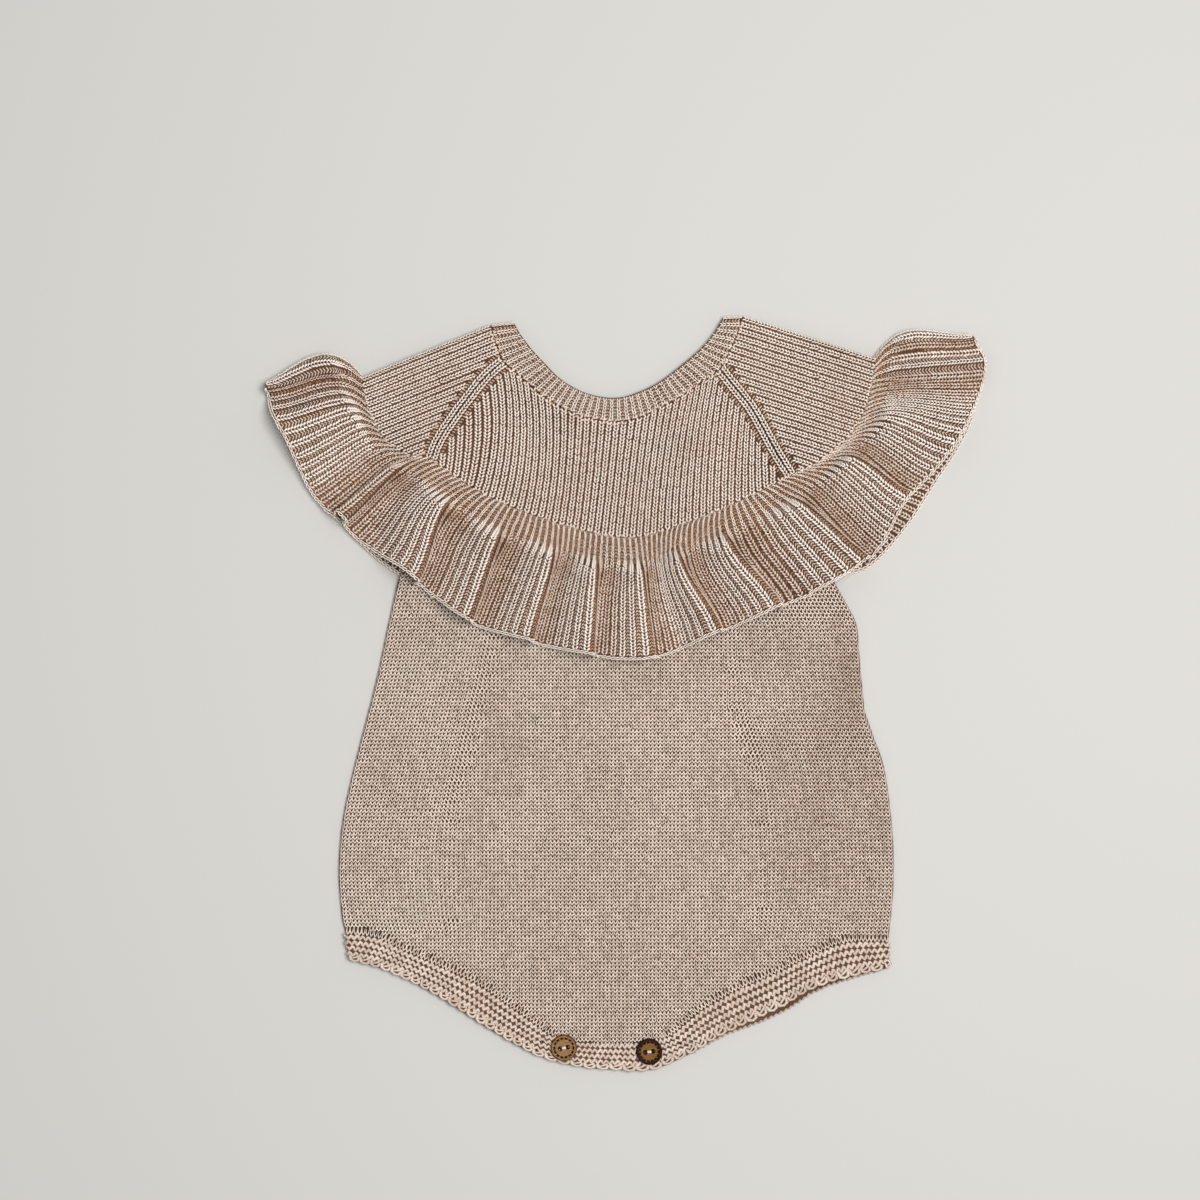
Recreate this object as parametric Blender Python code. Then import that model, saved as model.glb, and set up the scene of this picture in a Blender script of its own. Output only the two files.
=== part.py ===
"""Knitted baby romper laid flat on its back: ribbed yoke, shoulder caps and
neckband, a wide ribbed ruffle all round, a plain body, garter leg bands and a
crotch band closed by two buttons.

Sizes are in millimetres: X across the garment, Y up to the neck, Z up from
the surface that it lies on.  The meshes are in metres.
"""

import math

import bmesh
import bpy
import numpy as np

MM = 0.001

# cloth, and how the layers lie on each other
CLOTH = 1.8              # wall of knitted cloth
GAP = 0.3                # clearance between layers
SEAM_GAP = 0.5           # clearance between pieces sewn edge to edge
LAYER = CLOTH + GAP      # height that one layer adds to those on it
SEAM_LEVEL = 4.0         # underside of the front at the ruffle seam
FOLD_ROUND = 2.4         # width of the rounding where a piece turns to the back
SIDE_ROUND = 2.6         # width of the rounding along the body's side edges
SIDE_THIN = 0.25         # share of the wall left at the side edge itself
BODY_PUFF = 1.4          # air between front and back body
PUFF_REACH = 22.0        # distance from an edge in which the air builds up
YOKE_PUFF = 1.2          # air between front and back yoke
CORNER_CUT = 1.9         # yoke and caps end this far from the raglan's lower end

# ribs and garter ridges, raised on the outer side only
RIB_RISE = 0.7
NECK_RIB_RISE = 0.9
GARTER_RISE = 0.6
YOKE_RIBS = 49
YOKE_LEAN = 3.0          # how far the middle ribs of the yoke lean to the left
CAP_RIBS_LEFT = 16
CAP_RIBS_RIGHT = 19
NECK_RIBS = 35
GARTER_RIDGES = 4
SHARP_ANGLE = 22.0       # ribs and ridges are shaded with edges, folds smooth

# mesh counts
YOKE_ROWS = 5
CAP_ROWS = 5
NECK_ROWS = 3
RUFFLE_ROWS = (0.0, 0.06, 0.16, 0.32, 0.52, 0.76, 1.0)
BODY_ROWS_TOP = 8        # rows of the body under the ruffle
BODY_ROWS_BELOW = 9
BODY_TOP_SHARE = 0.36    # share of the body's height that those rows take
BACK_CELLS = 20          # cells across a hidden back
LEG_STATIONS = 10        # the body's edge and the bands share these stations
CROTCH_STATIONS = 6

# ruffle
ROOT_RAMP = 5.5          # distance in which the ruffle climbs onto the body
BODY_TOP_INSET = 6.8     # the body's top edge ends this far below the seam
RUFFLE_CLEAR = 0.7       # clearance of the ruffle over the body
TENT = 16.0              # how far beside the body the ruffle slopes down
STEEP_RIBS = 0.4         # share of a fold's ribs on its steep side
FOLD_START = 0.06        # share of the ruffle's depth where the folds begin
FOLD_FULL = 0.72         # share where they have their full height
MOST_SLOPE = 1.7         # slope past which the wall is not thickened further
TIP_BULGE = {"left": 6.0, "right": 2.4}   # how far the shoulder folds round out
BACK_HEM_EASE = 16.0     # width in which the body steps down off the back hem

# buttons
BUTTON_RADIUS = 6.8
BUTTON_THICK = 2.4
BUTTON_RIM = 1.6
BUTTON_DISH = 0.5
BUTTON_EDGE = 0.5
BUTTON_HOLE_RADIUS = 0.8
BUTTON_HOLE_SPACING = 3.2
BUTTON_SIDES = 28
HOLE_SIDES = 10
BUTTONS = (
    # name, x, y, turn of the line through the holes in degrees
    ("button_left", -31.7, -183.6, 12.0),
    ("button_right", 12.5, -185.6, 8.0),
)

# outline: x, y of the points that a smooth curve runs through
SIDE_LEFT = (            # from the ruffle seam down the armhole and the side
    (-100.4, 121.7), (-108.7, 95.2), (-117.5, 58.8), (-123.2, 34.3),
    (-128.4, 9.4), (-134.2, -13.5), (-140.4, -37.4), (-146.6, -66.0),
    (-148.7, -92.0), (-147.2, -114.9), (-145.1, -124.8),
)
SIDE_RIGHT = (
    (85.8, 112.8), (92.0, 97.8), (99.3, 82.2), (108.7, 57.7), (116.0, 44.7),
    (120.6, 34.3), (121.7, 17.2), (123.2, 4.2), (125.3, -13.0),
    (133.6, -34.8), (137.3, -55.6), (139.4, -79.0), (139.4, -102.4),
    (136.8, -129.0),
)
LEG_UPPER_LEFT = (       # body edge along the left leg opening, hip to crotch
    (-145.1, -124.8), (-129.5, -126.9), (-114.9, -133.6), (-95.7, -142.0),
    (-76.4, -151.3), (-61.9, -161.2), (-49.4, -170.0), (-40.0, -177.0),
)
LEG_UPPER_RIGHT = (
    (136.8, -129.0), (114.4, -129.5), (98.3, -135.7), (77.5, -145.6),
    (56.2, -155.0), (40.0, -164.3), (31.7, -171.0), (23.9, -177.8),
)
CROTCH_UPPER = (
    (-40.0, -177.0), (-28.6, -180.4), (-13.0, -181.5), (2.6, -181.5),
    (15.6, -180.4), (23.9, -177.8),
)
LEG_LOWER_LEFT = (       # outer edge of the left leg band, hip to crotch
    (-142.9, -138.6), (-129.5, -142.0), (-114.9, -147.7), (-95.7, -158.1),
    (-76.4, -170.6), (-61.9, -179.4), (-47.8, -187.2),
)
LEG_LOWER_RIGHT = (
    (136.4, -142.7), (119.6, -146.6), (98.3, -152.9), (82.7, -162.2),
    (66.6, -170.0), (50.4, -177.3), (34.8, -186.7),
)
CROTCH_LOWER = (
    (-47.8, -187.2), (-33.3, -191.9), (-18.7, -194.5), (-4.2, -195.5),
    (7.8, -196.0), (18.7, -194.0), (34.8, -186.7),
)
BACK_BAND_SHOWS = {"left": -1.0, "right": 2.2}   # back band past the front one
BACK_NECK_DROP = 1.0     # how far the back neck edge hides below the front one

# seams of the yoke, the caps and the neckband
NECK_SEAM = (
    (-63.4, 172.1), (-54.6, 164.3), (-44.2, 155.5), (-33.8, 148.7),
    (-23.4, 144.0), (-13.0, 141.4), (-2.6, 140.9), (7.8, 143.0),
    (18.2, 148.2), (28.6, 153.9), (39.0, 160.7), (49.4, 168.0),
)
NECK_OPENING = (
    (-56.4, 190.0), (-54.1, 186.0), (-48.4, 178.4), (-41.6, 171.1),
    (-33.8, 163.3), (-23.4, 157.0), (-13.0, 153.9), (-2.6, 153.4),
    (7.8, 156.5), (18.2, 161.7), (28.6, 169.5), (39.0, 178.4),
    (46.0, 186.6), (49.6, 192.6),
)
NECK_END_LEFT = ((-69.3, 188.6), (-67.1, 181.0), (-63.4, 172.1))
NECK_END_RIGHT = ((60.6, 193.2), (56.2, 181.0), (49.4, 168.0))
RAGLAN_LEFT = (
    (-63.4, 172.1), (-72.3, 164.3), (-81.6, 152.9), (-91.0, 139.9),
    (-97.2, 130.0), (-100.4, 121.7),
)
RAGLAN_RIGHT = (
    (49.4, 168.0), (56.2, 159.6), (64.5, 149.2), (71.2, 137.8),
    (78.0, 125.3), (85.8, 112.8),
)
YOKE_SEAM = (
    (-100.4, 121.7), (-91.0, 114.9), (-80.6, 107.6), (-68.1, 100.9),
    (-54.6, 95.2), (-41.6, 90.5), (-30.2, 86.8), (-10.9, 82.2),
    (6.8, 81.1), (26.5, 86.8), (42.6, 92.6), (61.4, 100.9),
    (74.4, 107.2), (85.8, 112.8),
)
CAP_SEAM_LEFT = (        # from the shoulder fold to the end of the raglan
    (-135.9, 161.1), (-134.0, 150.6), (-130.0, 140.9), (-123.2, 130.8),
    (-112.8, 124.0), (-100.4, 121.7),
)
CAP_SEAM_RIGHT = (
    (129.3, 170.9), (127.6, 160.2), (124.9, 149.8), (120.1, 139.4),
    (112.8, 130.0), (102.4, 122.0), (93.6, 116.5), (85.8, 112.8),
)

# front ruffle, one row for each fold from the left shoulder to the right one:
# ribs up to the next fold, x and y of its crest at the hem, the crest's
# height, and the trough's place on the way to the next crest
RUFFLE_FOLDS = (
    (7, -185.8, 158.1, 3.5, 0.20),
    (7, -178.9, 139.4, 6.5, 0.66),
    (7, -145.6, 92.0, 7.5, 0.36),
    (7, -107.6, 60.3, 9.5, 0.30),
    (7, -80.6, 39.0, 8.0, 0.28),
    (7, -49.4, 28.6, 7.5, 0.28),
    (5, -18.2, 21.3, 7.0, 0.32),
    (4, 13.0, 19.2, 6.0, 0.55),
    (6, 47.3, 32.8, 9.5, 0.30),
    (8, 77.0, 45.2, 8.0, 0.22),
    (10, 123.2, 69.2, 7.0, 0.27),
    (8, 145.6, 101.9, 9.5, 0.30),
    (9, 171.6, 131.6, 6.0, 0.62),
    (4, 186.0, 168.0, 5.0, 0.50),
    (0, 181.0, 183.6, 4.0, 0.0),
)
BACK_HEM = (             # the back ruffle lies flat under the front one
    (-185.8, 158.1), (-180.4, 139.4), (-169.0, 116.0), (-153.4, 95.2),
    (-142.0, 83.2), (-127.4, 69.2), (-110.8, 58.8), (-85.8, 48.4),
    (-49.4, 38.0), (-18.2, 32.8), (13.0, 31.7), (47.3, 42.1),
    (80.6, 53.6), (106.6, 61.4), (126.4, 66.0), (145.6, 86.3),
    (161.7, 110.8), (173.2, 128.4), (180.4, 144.6), (184.0, 166.0),
    (181.0, 183.6),
)

# colours of the yarn and of the buttons
PLAIN_COLOUR = (0.46, 0.37, 0.30)
RIB_COLOUR = (0.43, 0.33, 0.26)
GARTER_COLOUR = (0.50, 0.41, 0.33)
BUTTON_COLOUR = (0.28, 0.16, 0.07)


# ---- curves --------------------------------------------------------------

class Path:
    """A smooth curve through points, read by the share of its length."""

    STEPS = 8

    def __init__(self, points):
        points = np.array(points, float)
        before = 2 * points[0] - points[1]
        after = 2 * points[-1] - points[-2]
        knots = np.vstack([before, points, after])
        samples = []
        for k in range(len(points) - 1):
            p0, p1, p2, p3 = knots[k:k + 4]
            for t in np.arange(self.STEPS) / self.STEPS:
                samples.append(0.5 * (
                    2 * p1 + (p2 - p0) * t
                    + (2 * p0 - 5 * p1 + 4 * p2 - p3) * t ** 2
                    + (3 * p1 - p0 - 3 * p2 + p3) * t ** 3))
        samples.append(points[-1])
        self.set_samples(np.array(samples))

    @classmethod
    def from_samples(cls, samples):
        path = cls.__new__(cls)
        path.set_samples(np.array(samples))
        return path

    def set_samples(self, samples):
        self.samples = samples
        lengths = np.hypot(*np.diff(samples, axis=0).T)
        self.along = np.concatenate([[0.0], np.cumsum(lengths)])
        self.length = self.along[-1]

    def at(self, share):
        place = share * self.length
        return np.array([np.interp(place, self.along, self.samples[:, axis])
                         for axis in (0, 1)])

    def knot_share(self, index):
        """Share of the length at one of the points that made the curve."""
        return self.along[index * self.STEPS] / self.length

    def y_at(self, x):
        """Height of a curve that runs from left to right."""
        return np.interp(x, self.samples[:, 0], self.samples[:, 1])

    def x_at(self, y):
        """Side of a curve that runs from top to bottom."""
        return np.interp(-y, -self.samples[:, 1], self.samples[:, 0])

    def then(self, other):
        return Path.from_samples(np.vstack([self.samples, other.samples[1:]]))

    def turned(self):
        return Path.from_samples(self.samples[::-1])

    def moved(self, distance):
        """The curve moved to its left."""
        ahead = np.gradient(self.samples, axis=0)
        ahead /= np.linalg.norm(ahead, axis=1)[:, None]
        left = np.stack([-ahead[:, 1], ahead[:, 0]], axis=1)
        return Path.from_samples(self.samples + distance * left)

    def cut(self, first, last):
        """The part between two distances, the second one from the end."""
        stop = self.length - last
        inside = [s for s, a in zip(self.samples, self.along) if first < a < stop]
        return Path.from_samples([self.at(first / self.length)] + inside
                                 + [self.at(stop / self.length)])


def smooth_step(value, low=0.0, high=1.0):
    share = min(max((value - low) / (high - low), 0.0), 1.0)
    return share * share * (3 - 2 * share)


def mix(a, b, share):
    return a + (b - a) * share


# ---- walls of cloth ------------------------------------------------------

def material(name, colour, roughness):
    made = bpy.data.materials.new(name)
    made.use_nodes = True
    shader = made.node_tree.nodes["Principled BSDF"]
    shader.inputs["Base Color"].default_value = (*colour, 1.0)
    shader.inputs["Roughness"].default_value = roughness
    shader.inputs["Metallic"].default_value = 0.0
    made.diffuse_color = (*colour, 1.0)
    return made


def object_from(name, points, faces, colour, roughness=0.9):
    mesh = bpy.data.meshes.new(name)
    mesh.from_pydata([tuple(MM * v for v in p) for p in points], [], faces)
    work = bmesh.new()
    work.from_mesh(mesh)
    bmesh.ops.recalc_face_normals(work, faces=work.faces)
    work.to_mesh(mesh)
    work.free()
    mesh.shade_smooth()
    mesh.set_sharp_from_angle(angle=math.radians(SHARP_ANGLE))
    mesh.materials.append(material(name + "_finish", colour, roughness))
    made = bpy.data.objects.new(name, mesh)
    bpy.context.scene.collection.objects.link(made)
    return made


class Wall:
    """A closed wall made of columns of points, some outside, some inside.

    Each column runs along a rib.  Between two inner columns there may be
    several outer ones, so ribs stand on a plain inside.
    """

    def __init__(self):
        self.outer = []
        self.inner = []
        self.starts = []     # outer column that stands on each inner one

    def add(self, outer, inner=None):
        if inner is not None:
            self.starts.append(len(self.outer))
            self.inner.append(inner)
        self.outer.append(outer)

    def build(self, name, colour, ring=False):
        rows = len(self.outer[0])
        points = [p for column in self.outer + self.inner for p in column]
        outer_count = len(self.outer)
        inner_count = len(self.inner)

        def out(column, row):
            return (column % outer_count) * rows + row

        def inn(column, row):
            return (outer_count + column % inner_count) * rows + row

        faces = []
        for c in range(outer_count if ring else outer_count - 1):
            for r in range(rows - 1):
                faces.append((out(c, r), out(c + 1, r), out(c + 1, r + 1)))
                faces.append((out(c, r), out(c + 1, r + 1), out(c, r + 1)))
        stops = self.starts + [outer_count]
        for c in range(inner_count if ring else inner_count - 1):
            for r in range(rows - 1):
                faces.append((inn(c, r), inn(c + 1, r + 1), inn(c + 1, r)))
                faces.append((inn(c, r), inn(c, r + 1), inn(c + 1, r + 1)))
            for row in (0, rows - 1):
                above = [out(k, row) for k in range(stops[c], stops[c + 1] + 1)]
                faces.append((*above, inn(c + 1, row), inn(c, row)))
        if not ring:
            for c_out, c_in in ((0, 0), (outer_count - 1, inner_count - 1)):
                for r in range(rows - 1):
                    faces.append((out(c_out, r), out(c_out, r + 1),
                                  inn(c_in, r + 1), inn(c_in, r)))
        return object_from(name, points, faces, colour)


def column_between(start, end, shares):
    return [mix(start, end, v) for v in shares]


def add_ribs(wall, columns, under, rise, thickness=None):
    """Front cells: `columns` are plan columns at the grooves and the crests,
    groove first and last, `under` gives the height of the underside."""
    for k, column in enumerate(columns):
        groove = k % 2 == 0
        low = [under(k, r, p) for r, p in enumerate(column)]
        wide = thickness(k) if thickness else [CLOTH] * len(column)
        lift = 0.0 if groove else rise
        outer = [(*p, z + w + lift) for p, z, w in zip(column, low, wide)]
        inner = [(*p, z) for p, z in zip(column, low)] if groove else None
        wall.add(outer, inner)


def add_turn(wall, column, top, under, away, width, upward=False):
    """The turn of a piece from its front to its back, or up again from the
    back: `away` is the direction in which each row runs out, `width` how far."""
    angles = (45.0, 0.0, -45.0)
    for angle in reversed(angles) if upward else angles:
        cos_a = math.cos(math.radians(angle))
        sin_a = math.sin(math.radians(angle))
        outer = [(*(p + d * w * cos_a), z / 2 * (1 + sin_a))
                 for p, z, d, w in zip(column, top, away, width)]
        inner = None
        if angle == 0.0:
            inner = [(*(p + d * max(w - CLOTH, GAP)), (z + CLOTH) / 2)
                     for p, z, d, w in zip(column, under, away, width)]
        wall.add(outer, inner)


def add_back(wall, columns):
    """Back cells: flat on the surface, plain on both sides."""
    for column in columns:
        wall.add([(*p, 0.0) for p in column], [(*p, CLOTH) for p in column])


# ---- the garment's lines -------------------------------------------------

side_left = Path(SIDE_LEFT)
side_right = Path(SIDE_RIGHT)
leg_left = Path(LEG_UPPER_LEFT)
leg_right = Path(LEG_UPPER_RIGHT)
crotch = Path(CROTCH_UPPER)
body_bottom = leg_left.then(crotch).then(leg_right.turned())
yoke_seam = Path(YOKE_SEAM)
raglan_left = Path(RAGLAN_LEFT)
raglan_right = Path(RAGLAN_RIGHT)
neck_seam = Path(NECK_SEAM)
neck_end_left = Path(NECK_END_LEFT)
neck_end_right = Path(NECK_END_RIGHT)
neck_edge = neck_end_left.then(neck_seam).then(neck_end_right.turned())
neck_opening = Path(NECK_OPENING)
cap_seam_left = Path(CAP_SEAM_LEFT)
cap_seam_right = Path(CAP_SEAM_RIGHT)
ruffle_root = cap_seam_left.then(yoke_seam).then(cap_seam_right.turned())
back_hem = Path(BACK_HEM)
HALF_GAP = SEAM_GAP / 2


def even(count):
    return [k / count for k in range(count + 1)]


# ---- heights of the layers -----------------------------------------------

def side_distance(x, y):
    """How far a point lies inside the body's nearer side edge."""
    return min(x - side_left.x_at(y), side_right.x_at(y) - x)


def back_lift(x, y):
    """How far the back body is lifted by the back ruffle under it."""
    below_hem = back_hem.y_at(x) - 4.0 - y
    return LAYER * smooth_step(-below_hem, -BACK_HEM_EASE, 0.0)


def body_puff(x, y):
    from_top = yoke_seam.y_at(x) - BODY_TOP_INSET - y
    from_bottom = y - body_bottom.y_at(x)
    air = BODY_PUFF
    for distance in (side_distance(x, y), from_top, from_bottom):
        air *= 1 - math.exp(-max(distance, 0.0) / PUFF_REACH)
    return air


def front_under(x, y):
    """Underside of the front body."""
    return back_lift(x, y) + LAYER + body_puff(x, y)


def side_roundness(x, y):
    share = min(max(side_distance(x, y), 0.0) / SIDE_ROUND, 1.0)
    return max(math.sqrt(1 - (1 - share) ** 2), SIDE_THIN)


def upper_under(v):
    """Underside of the front yoke and caps, from the neck to the ruffle."""
    return (LAYER + YOKE_PUFF * math.sin(math.pi * v)
            + (SEAM_LEVEL - LAYER) * smooth_step(v, 0.2, 1.0))


def ruffle_base(x, y):
    """What the front ruffle lies on: the body, or the back ruffle beside it."""
    inside = min(max(x, side_left.x_at(y)), side_right.x_at(y))
    on_body = front_under(inside, y) + CLOTH + RUFFLE_CLEAR
    return mix(LAYER, on_body, smooth_step(side_distance(x, y), -TENT, 0.0))


# ---- body ----------------------------------------------------------------

def bottom_shares():
    """Places of the body's columns on its lower edge, as shares of its length:
    the ends of the cells of the leg bands and the crotch bands under it."""
    total = body_bottom.length
    leg_cells = (leg_left.length - FOLD_ROUND - HALF_GAP) / LEG_STATIONS
    left = [FOLD_ROUND + leg_cells * k for k in range(LEG_STATIONS + 1)]
    leg_cells = (leg_right.length - FOLD_ROUND - HALF_GAP) / LEG_STATIONS
    right = [total - FOLD_ROUND - leg_cells * k for k in range(LEG_STATIONS + 1)]
    crotch_cells = (crotch.length - SEAM_GAP) / CROTCH_STATIONS
    middle = [leg_left.length + HALF_GAP + crotch_cells * k
              for k in range(1, CROTCH_STATIONS)]
    edge = FOLD_ROUND / 3
    places = [0.0, edge] + left + middle + right[::-1] + [total - edge, total]
    return [place / total for place in places]


def body_plan():
    """Columns of plan points between the body's four edges."""
    left = side_left.cut(BODY_TOP_INSET, 0.0)
    right = side_right.cut(BODY_TOP_INSET, 0.0)
    bottom = body_bottom.moved(HALF_GAP)
    left.samples[-1] = bottom.samples[0]
    right.samples[-1] = bottom.samples[-1]
    corner_left = left.samples[0]
    corner_right = right.samples[0]
    seam = [p for p in yoke_seam.moved(-BODY_TOP_INSET).samples
            if corner_left[0] + 3.0 < p[0] < corner_right[0] - 3.0]
    top = Path.from_samples([corner_left] + seam + [corner_right])
    width = bottom.samples[-1][0] - bottom.samples[0][0]
    upper = list(np.linspace(0.0, BODY_TOP_SHARE, BODY_ROWS_TOP + 1))
    lower = list(np.linspace(BODY_TOP_SHARE, 1.0, BODY_ROWS_BELOW + 1))
    plan = []
    for share in bottom_shares():
        end = bottom.at(share)
        s = (end[0] - bottom.samples[0][0]) / width
        start = top.at(s)
        column = []
        for t in upper + lower[1:]:
            edges = mix(start, end, t) + mix(left.at(t), right.at(t), s)
            corners = mix(mix(top.at(0), top.at(1), s),
                          mix(bottom.at(0), bottom.at(1), s), t)
            column.append(edges - corners)
        plan.append(column)
    return plan


def make_bodies():
    plan = body_plan()
    front = Wall()
    back = Wall()
    for column in plan:
        rounds = [side_roundness(*p) for p in column]
        low = [front_under(*p) for p in column]
        front.add([(*p, z + CLOTH * w) for p, z, w in zip(column, low, rounds)],
                  [(*p, z) for p, z in zip(column, low)])
        lifts = [back_lift(*p) for p in column]
        back.add([(*p, z + CLOTH * (1 - w)) for p, z, w in zip(column, lifts, rounds)],
                 [(*p, z + CLOTH) for p, z in zip(column, lifts)])
    front.build("front_body", PLAIN_COLOUR)
    back.build("back_body", PLAIN_COLOUR)


# ---- yoke and shoulder caps ----------------------------------------------

def yoke_columns(count):
    top = raglan_left.turned().then(neck_seam).then(raglan_right).moved(-HALF_GAP)
    bottom = yoke_seam.moved(HALF_GAP)
    first = YOKE_SEAM[0][0] + CORNER_CUT
    last = YOKE_SEAM[-1][0] - CORNER_CUT
    columns = []
    for share in even(count):
        x = mix(first, last, share)
        lean = YOKE_LEAN * math.sin(math.pi * share)
        start = np.array([x, top.y_at(x)])
        end = np.array([x - lean, bottom.y_at(x - lean)])
        columns.append((start, end))
    return columns


def make_yokes():
    rows = even(YOKE_ROWS)
    front = Wall()
    columns = [column_between(*ends, rows) for ends in yoke_columns(2 * YOKE_RIBS)]
    add_ribs(front, columns, lambda k, r, p: upper_under(rows[r]), RIB_RISE)
    front.build("front_yoke", RIB_COLOUR)
    back = Wall()
    add_back(back, [column_between(*ends, rows) for ends in yoke_columns(BACK_CELLS)])
    back.build("back_yoke", RIB_COLOUR)


def turn_directions(tangent_a, tangent_b, rows):
    """Directions in which a fold runs out, from one edge to the other."""
    mixed = [mix(tangent_a, tangent_b, v) for v in rows]
    return [d / np.linalg.norm(d) for d in mixed]


def end_tangent(path):
    step = path.samples[-1] - path.samples[-3]
    return step / np.linalg.norm(step)


def make_cap(name, raglan, neck_end, cap_seam, ribs, side):
    """`side` is 1 where the cap lies to the left of its raglan seam."""
    edge_a = raglan.turned().then(neck_end.turned())
    edge_b = cap_seam.turned()
    away = turn_directions(end_tangent(edge_a), end_tangent(edge_b), even(CAP_ROWS))
    edge_a = edge_a.moved(side * HALF_GAP).cut(CORNER_CUT, 0.0)
    edge_b = edge_b.moved(-side * HALF_GAP).cut(CORNER_CUT, 0.0)
    rows = even(CAP_ROWS)
    columns = [column_between(edge_a.at(s), edge_b.at(s), rows) for s in even(2 * ribs)]
    wall = Wall()
    add_ribs(wall, columns, lambda k, r, p: upper_under(rows[r]), RIB_RISE)
    under = [upper_under(v) for v in rows]
    top = [z + CLOTH for z in under]
    add_turn(wall, columns[-1], top, under, away, [FOLD_ROUND] * len(rows))
    backs = [column_between(edge_a.at(s), edge_b.at(s), rows)
             for s in reversed(even(ribs // 2))]
    add_back(wall, backs)
    wall.build(name, RIB_COLOUR)


# ---- neckband ------------------------------------------------------------

def make_neckband():
    rows = even(NECK_ROWS)
    edge_a = neck_edge.moved(HALF_GAP)
    edge_b = neck_opening
    columns = [column_between(edge_a.at(s), edge_b.at(s), rows)
               for s in even(2 * NECK_RIBS)]
    under = [LAYER] * len(rows)
    top = [z + CLOTH for z in under]
    width = [FOLD_ROUND] * len(rows)
    wall = Wall()
    add_ribs(wall, columns, lambda k, r, p: LAYER, NECK_RIB_RISE)
    ends = turn_directions(end_tangent(neck_edge), end_tangent(neck_opening), rows)
    add_turn(wall, columns[-1], top, under, ends, width)
    backs = []
    for share in reversed(even(BACK_CELLS)):
        start = edge_a.at(share)
        end = edge_b.at(share)
        drop = BACK_NECK_DROP * math.sin(math.pi * share)
        end = end + (start - end) / np.linalg.norm(start - end) * drop
        backs.append(column_between(start, end, rows))
    add_back(wall, backs)
    starts = turn_directions(end_tangent(neck_edge.turned()),
                             end_tangent(neck_opening.turned()), rows)
    add_turn(wall, columns[0], top, under, starts, width, upward=True)
    wall.build("neckband", RIB_COLOUR, ring=True)


# ---- ruffle --------------------------------------------------------------

fold_starts = np.concatenate([[0], np.cumsum([row[0] for row in RUFFLE_FOLDS])])
RUFFLE_RIBS = int(fold_starts[-1])
front_hem = Path([row[1:3] for row in RUFFLE_FOLDS])


def fold_at(rib):
    """Share of the hem's length, and the fold's height, at a rib."""
    index = int(np.searchsorted(fold_starts[1:-1], rib, side="right"))
    index = min(index, len(RUFFLE_FOLDS) - 2)
    ribs, _, _, height, trough = RUFFLE_FOLDS[index]
    next_height = RUFFLE_FOLDS[index + 1][3]
    steep = STEEP_RIBS if trough < 0.5 else 1 - STEEP_RIBS
    share = (rib - fold_starts[index]) / ribs
    if share < steep:
        down = share / steep
        place = trough * down
        rise = height * (1 + math.cos(math.pi * down)) / 2
    else:
        up = (share - steep) / (1 - steep)
        place = mix(trough, 1.0, up)
        rise = next_height * (1 - math.cos(math.pi * up)) / 2
    first = front_hem.knot_share(index)
    return mix(first, front_hem.knot_share(index + 1), place), rise


def make_ruffle():
    root = ruffle_root.moved(-HALF_GAP)
    columns = []
    heights = []
    for k in range(2 * RUFFLE_RIBS + 1):
        hem_share, rise = fold_at(k / 2)
        start = root.at(k / 2 / RUFFLE_RIBS)
        columns.append(column_between(start, front_hem.at(hem_share), RUFFLE_ROWS))
        heights.append(rise)

    def under(k, r, p):
        v = RUFFLE_ROWS[r]
        depth = v * np.linalg.norm(columns[k][-1] - columns[k][0])
        base = mix(SEAM_LEVEL, ruffle_base(*p), smooth_step(depth, 0.0, ROOT_RAMP))
        return base + heights[k] * smooth_step(v, FOLD_START, FOLD_FULL)

    low = [[under(k, r, p) for r, p in enumerate(column)]
           for k, column in enumerate(columns)]

    def thickness(k):
        """The wall measured upright, thicker on a slope."""
        before = max(k - 1, 0)
        after = min(k + 1, len(columns) - 1)
        wide = []
        for r in range(len(RUFFLE_ROWS)):
            run = np.linalg.norm(columns[after][r] - columns[before][r])
            slope = min(abs(low[after][r] - low[before][r]) / run, MOST_SLOPE)
            wide.append(CLOTH * math.sqrt(1 + slope ** 2))
        return wide

    wall = Wall()
    add_ribs(wall, columns, lambda k, r, p: low[k][r], RIB_RISE, thickness)

    def turn(k, side, path_root, path_hem):
        top = [z + w for z, w in zip(low[k], thickness(k))]
        away = turn_directions(end_tangent(path_root), end_tangent(path_hem), RUFFLE_ROWS)
        bulge = [FOLD_ROUND + TIP_BULGE[side] * math.sin(math.pi * v ** 0.8)
                 for v in RUFFLE_ROWS]
        add_turn(wall, columns[k], top, low[k], away, bulge, upward=side == "left")

    turn(len(columns) - 1, "right", ruffle_root, front_hem)
    add_back(wall, [column_between(root.at(s), back_hem.at(s), RUFFLE_ROWS)
                    for s in reversed(even(2 * BACK_CELLS))])
    turn(0, "left", ruffle_root.turned(), front_hem.turned())
    wall.build("ruffle", RIB_COLOUR, ring=True)


# ---- leg bands and crotch bands ------------------------------------------

garter_rows = even(2 * GARTER_RIDGES)


def garter_top(v, row):
    """Upper side of a garter band: ridges, lower towards the outer edge."""
    ridge = GARTER_RISE if row % 2 else 0.0
    return LAYER + CLOTH * mix(1.0, 0.72, smooth_step(v, 0.8, 1.0)) + ridge


def add_garter(wall, columns):
    for column in columns:
        outer = [(*p, garter_top(v, r))
                 for r, (p, v) in enumerate(zip(column, garter_rows))]
        wall.add(outer, [(*p, LAYER) for p in column])


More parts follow.
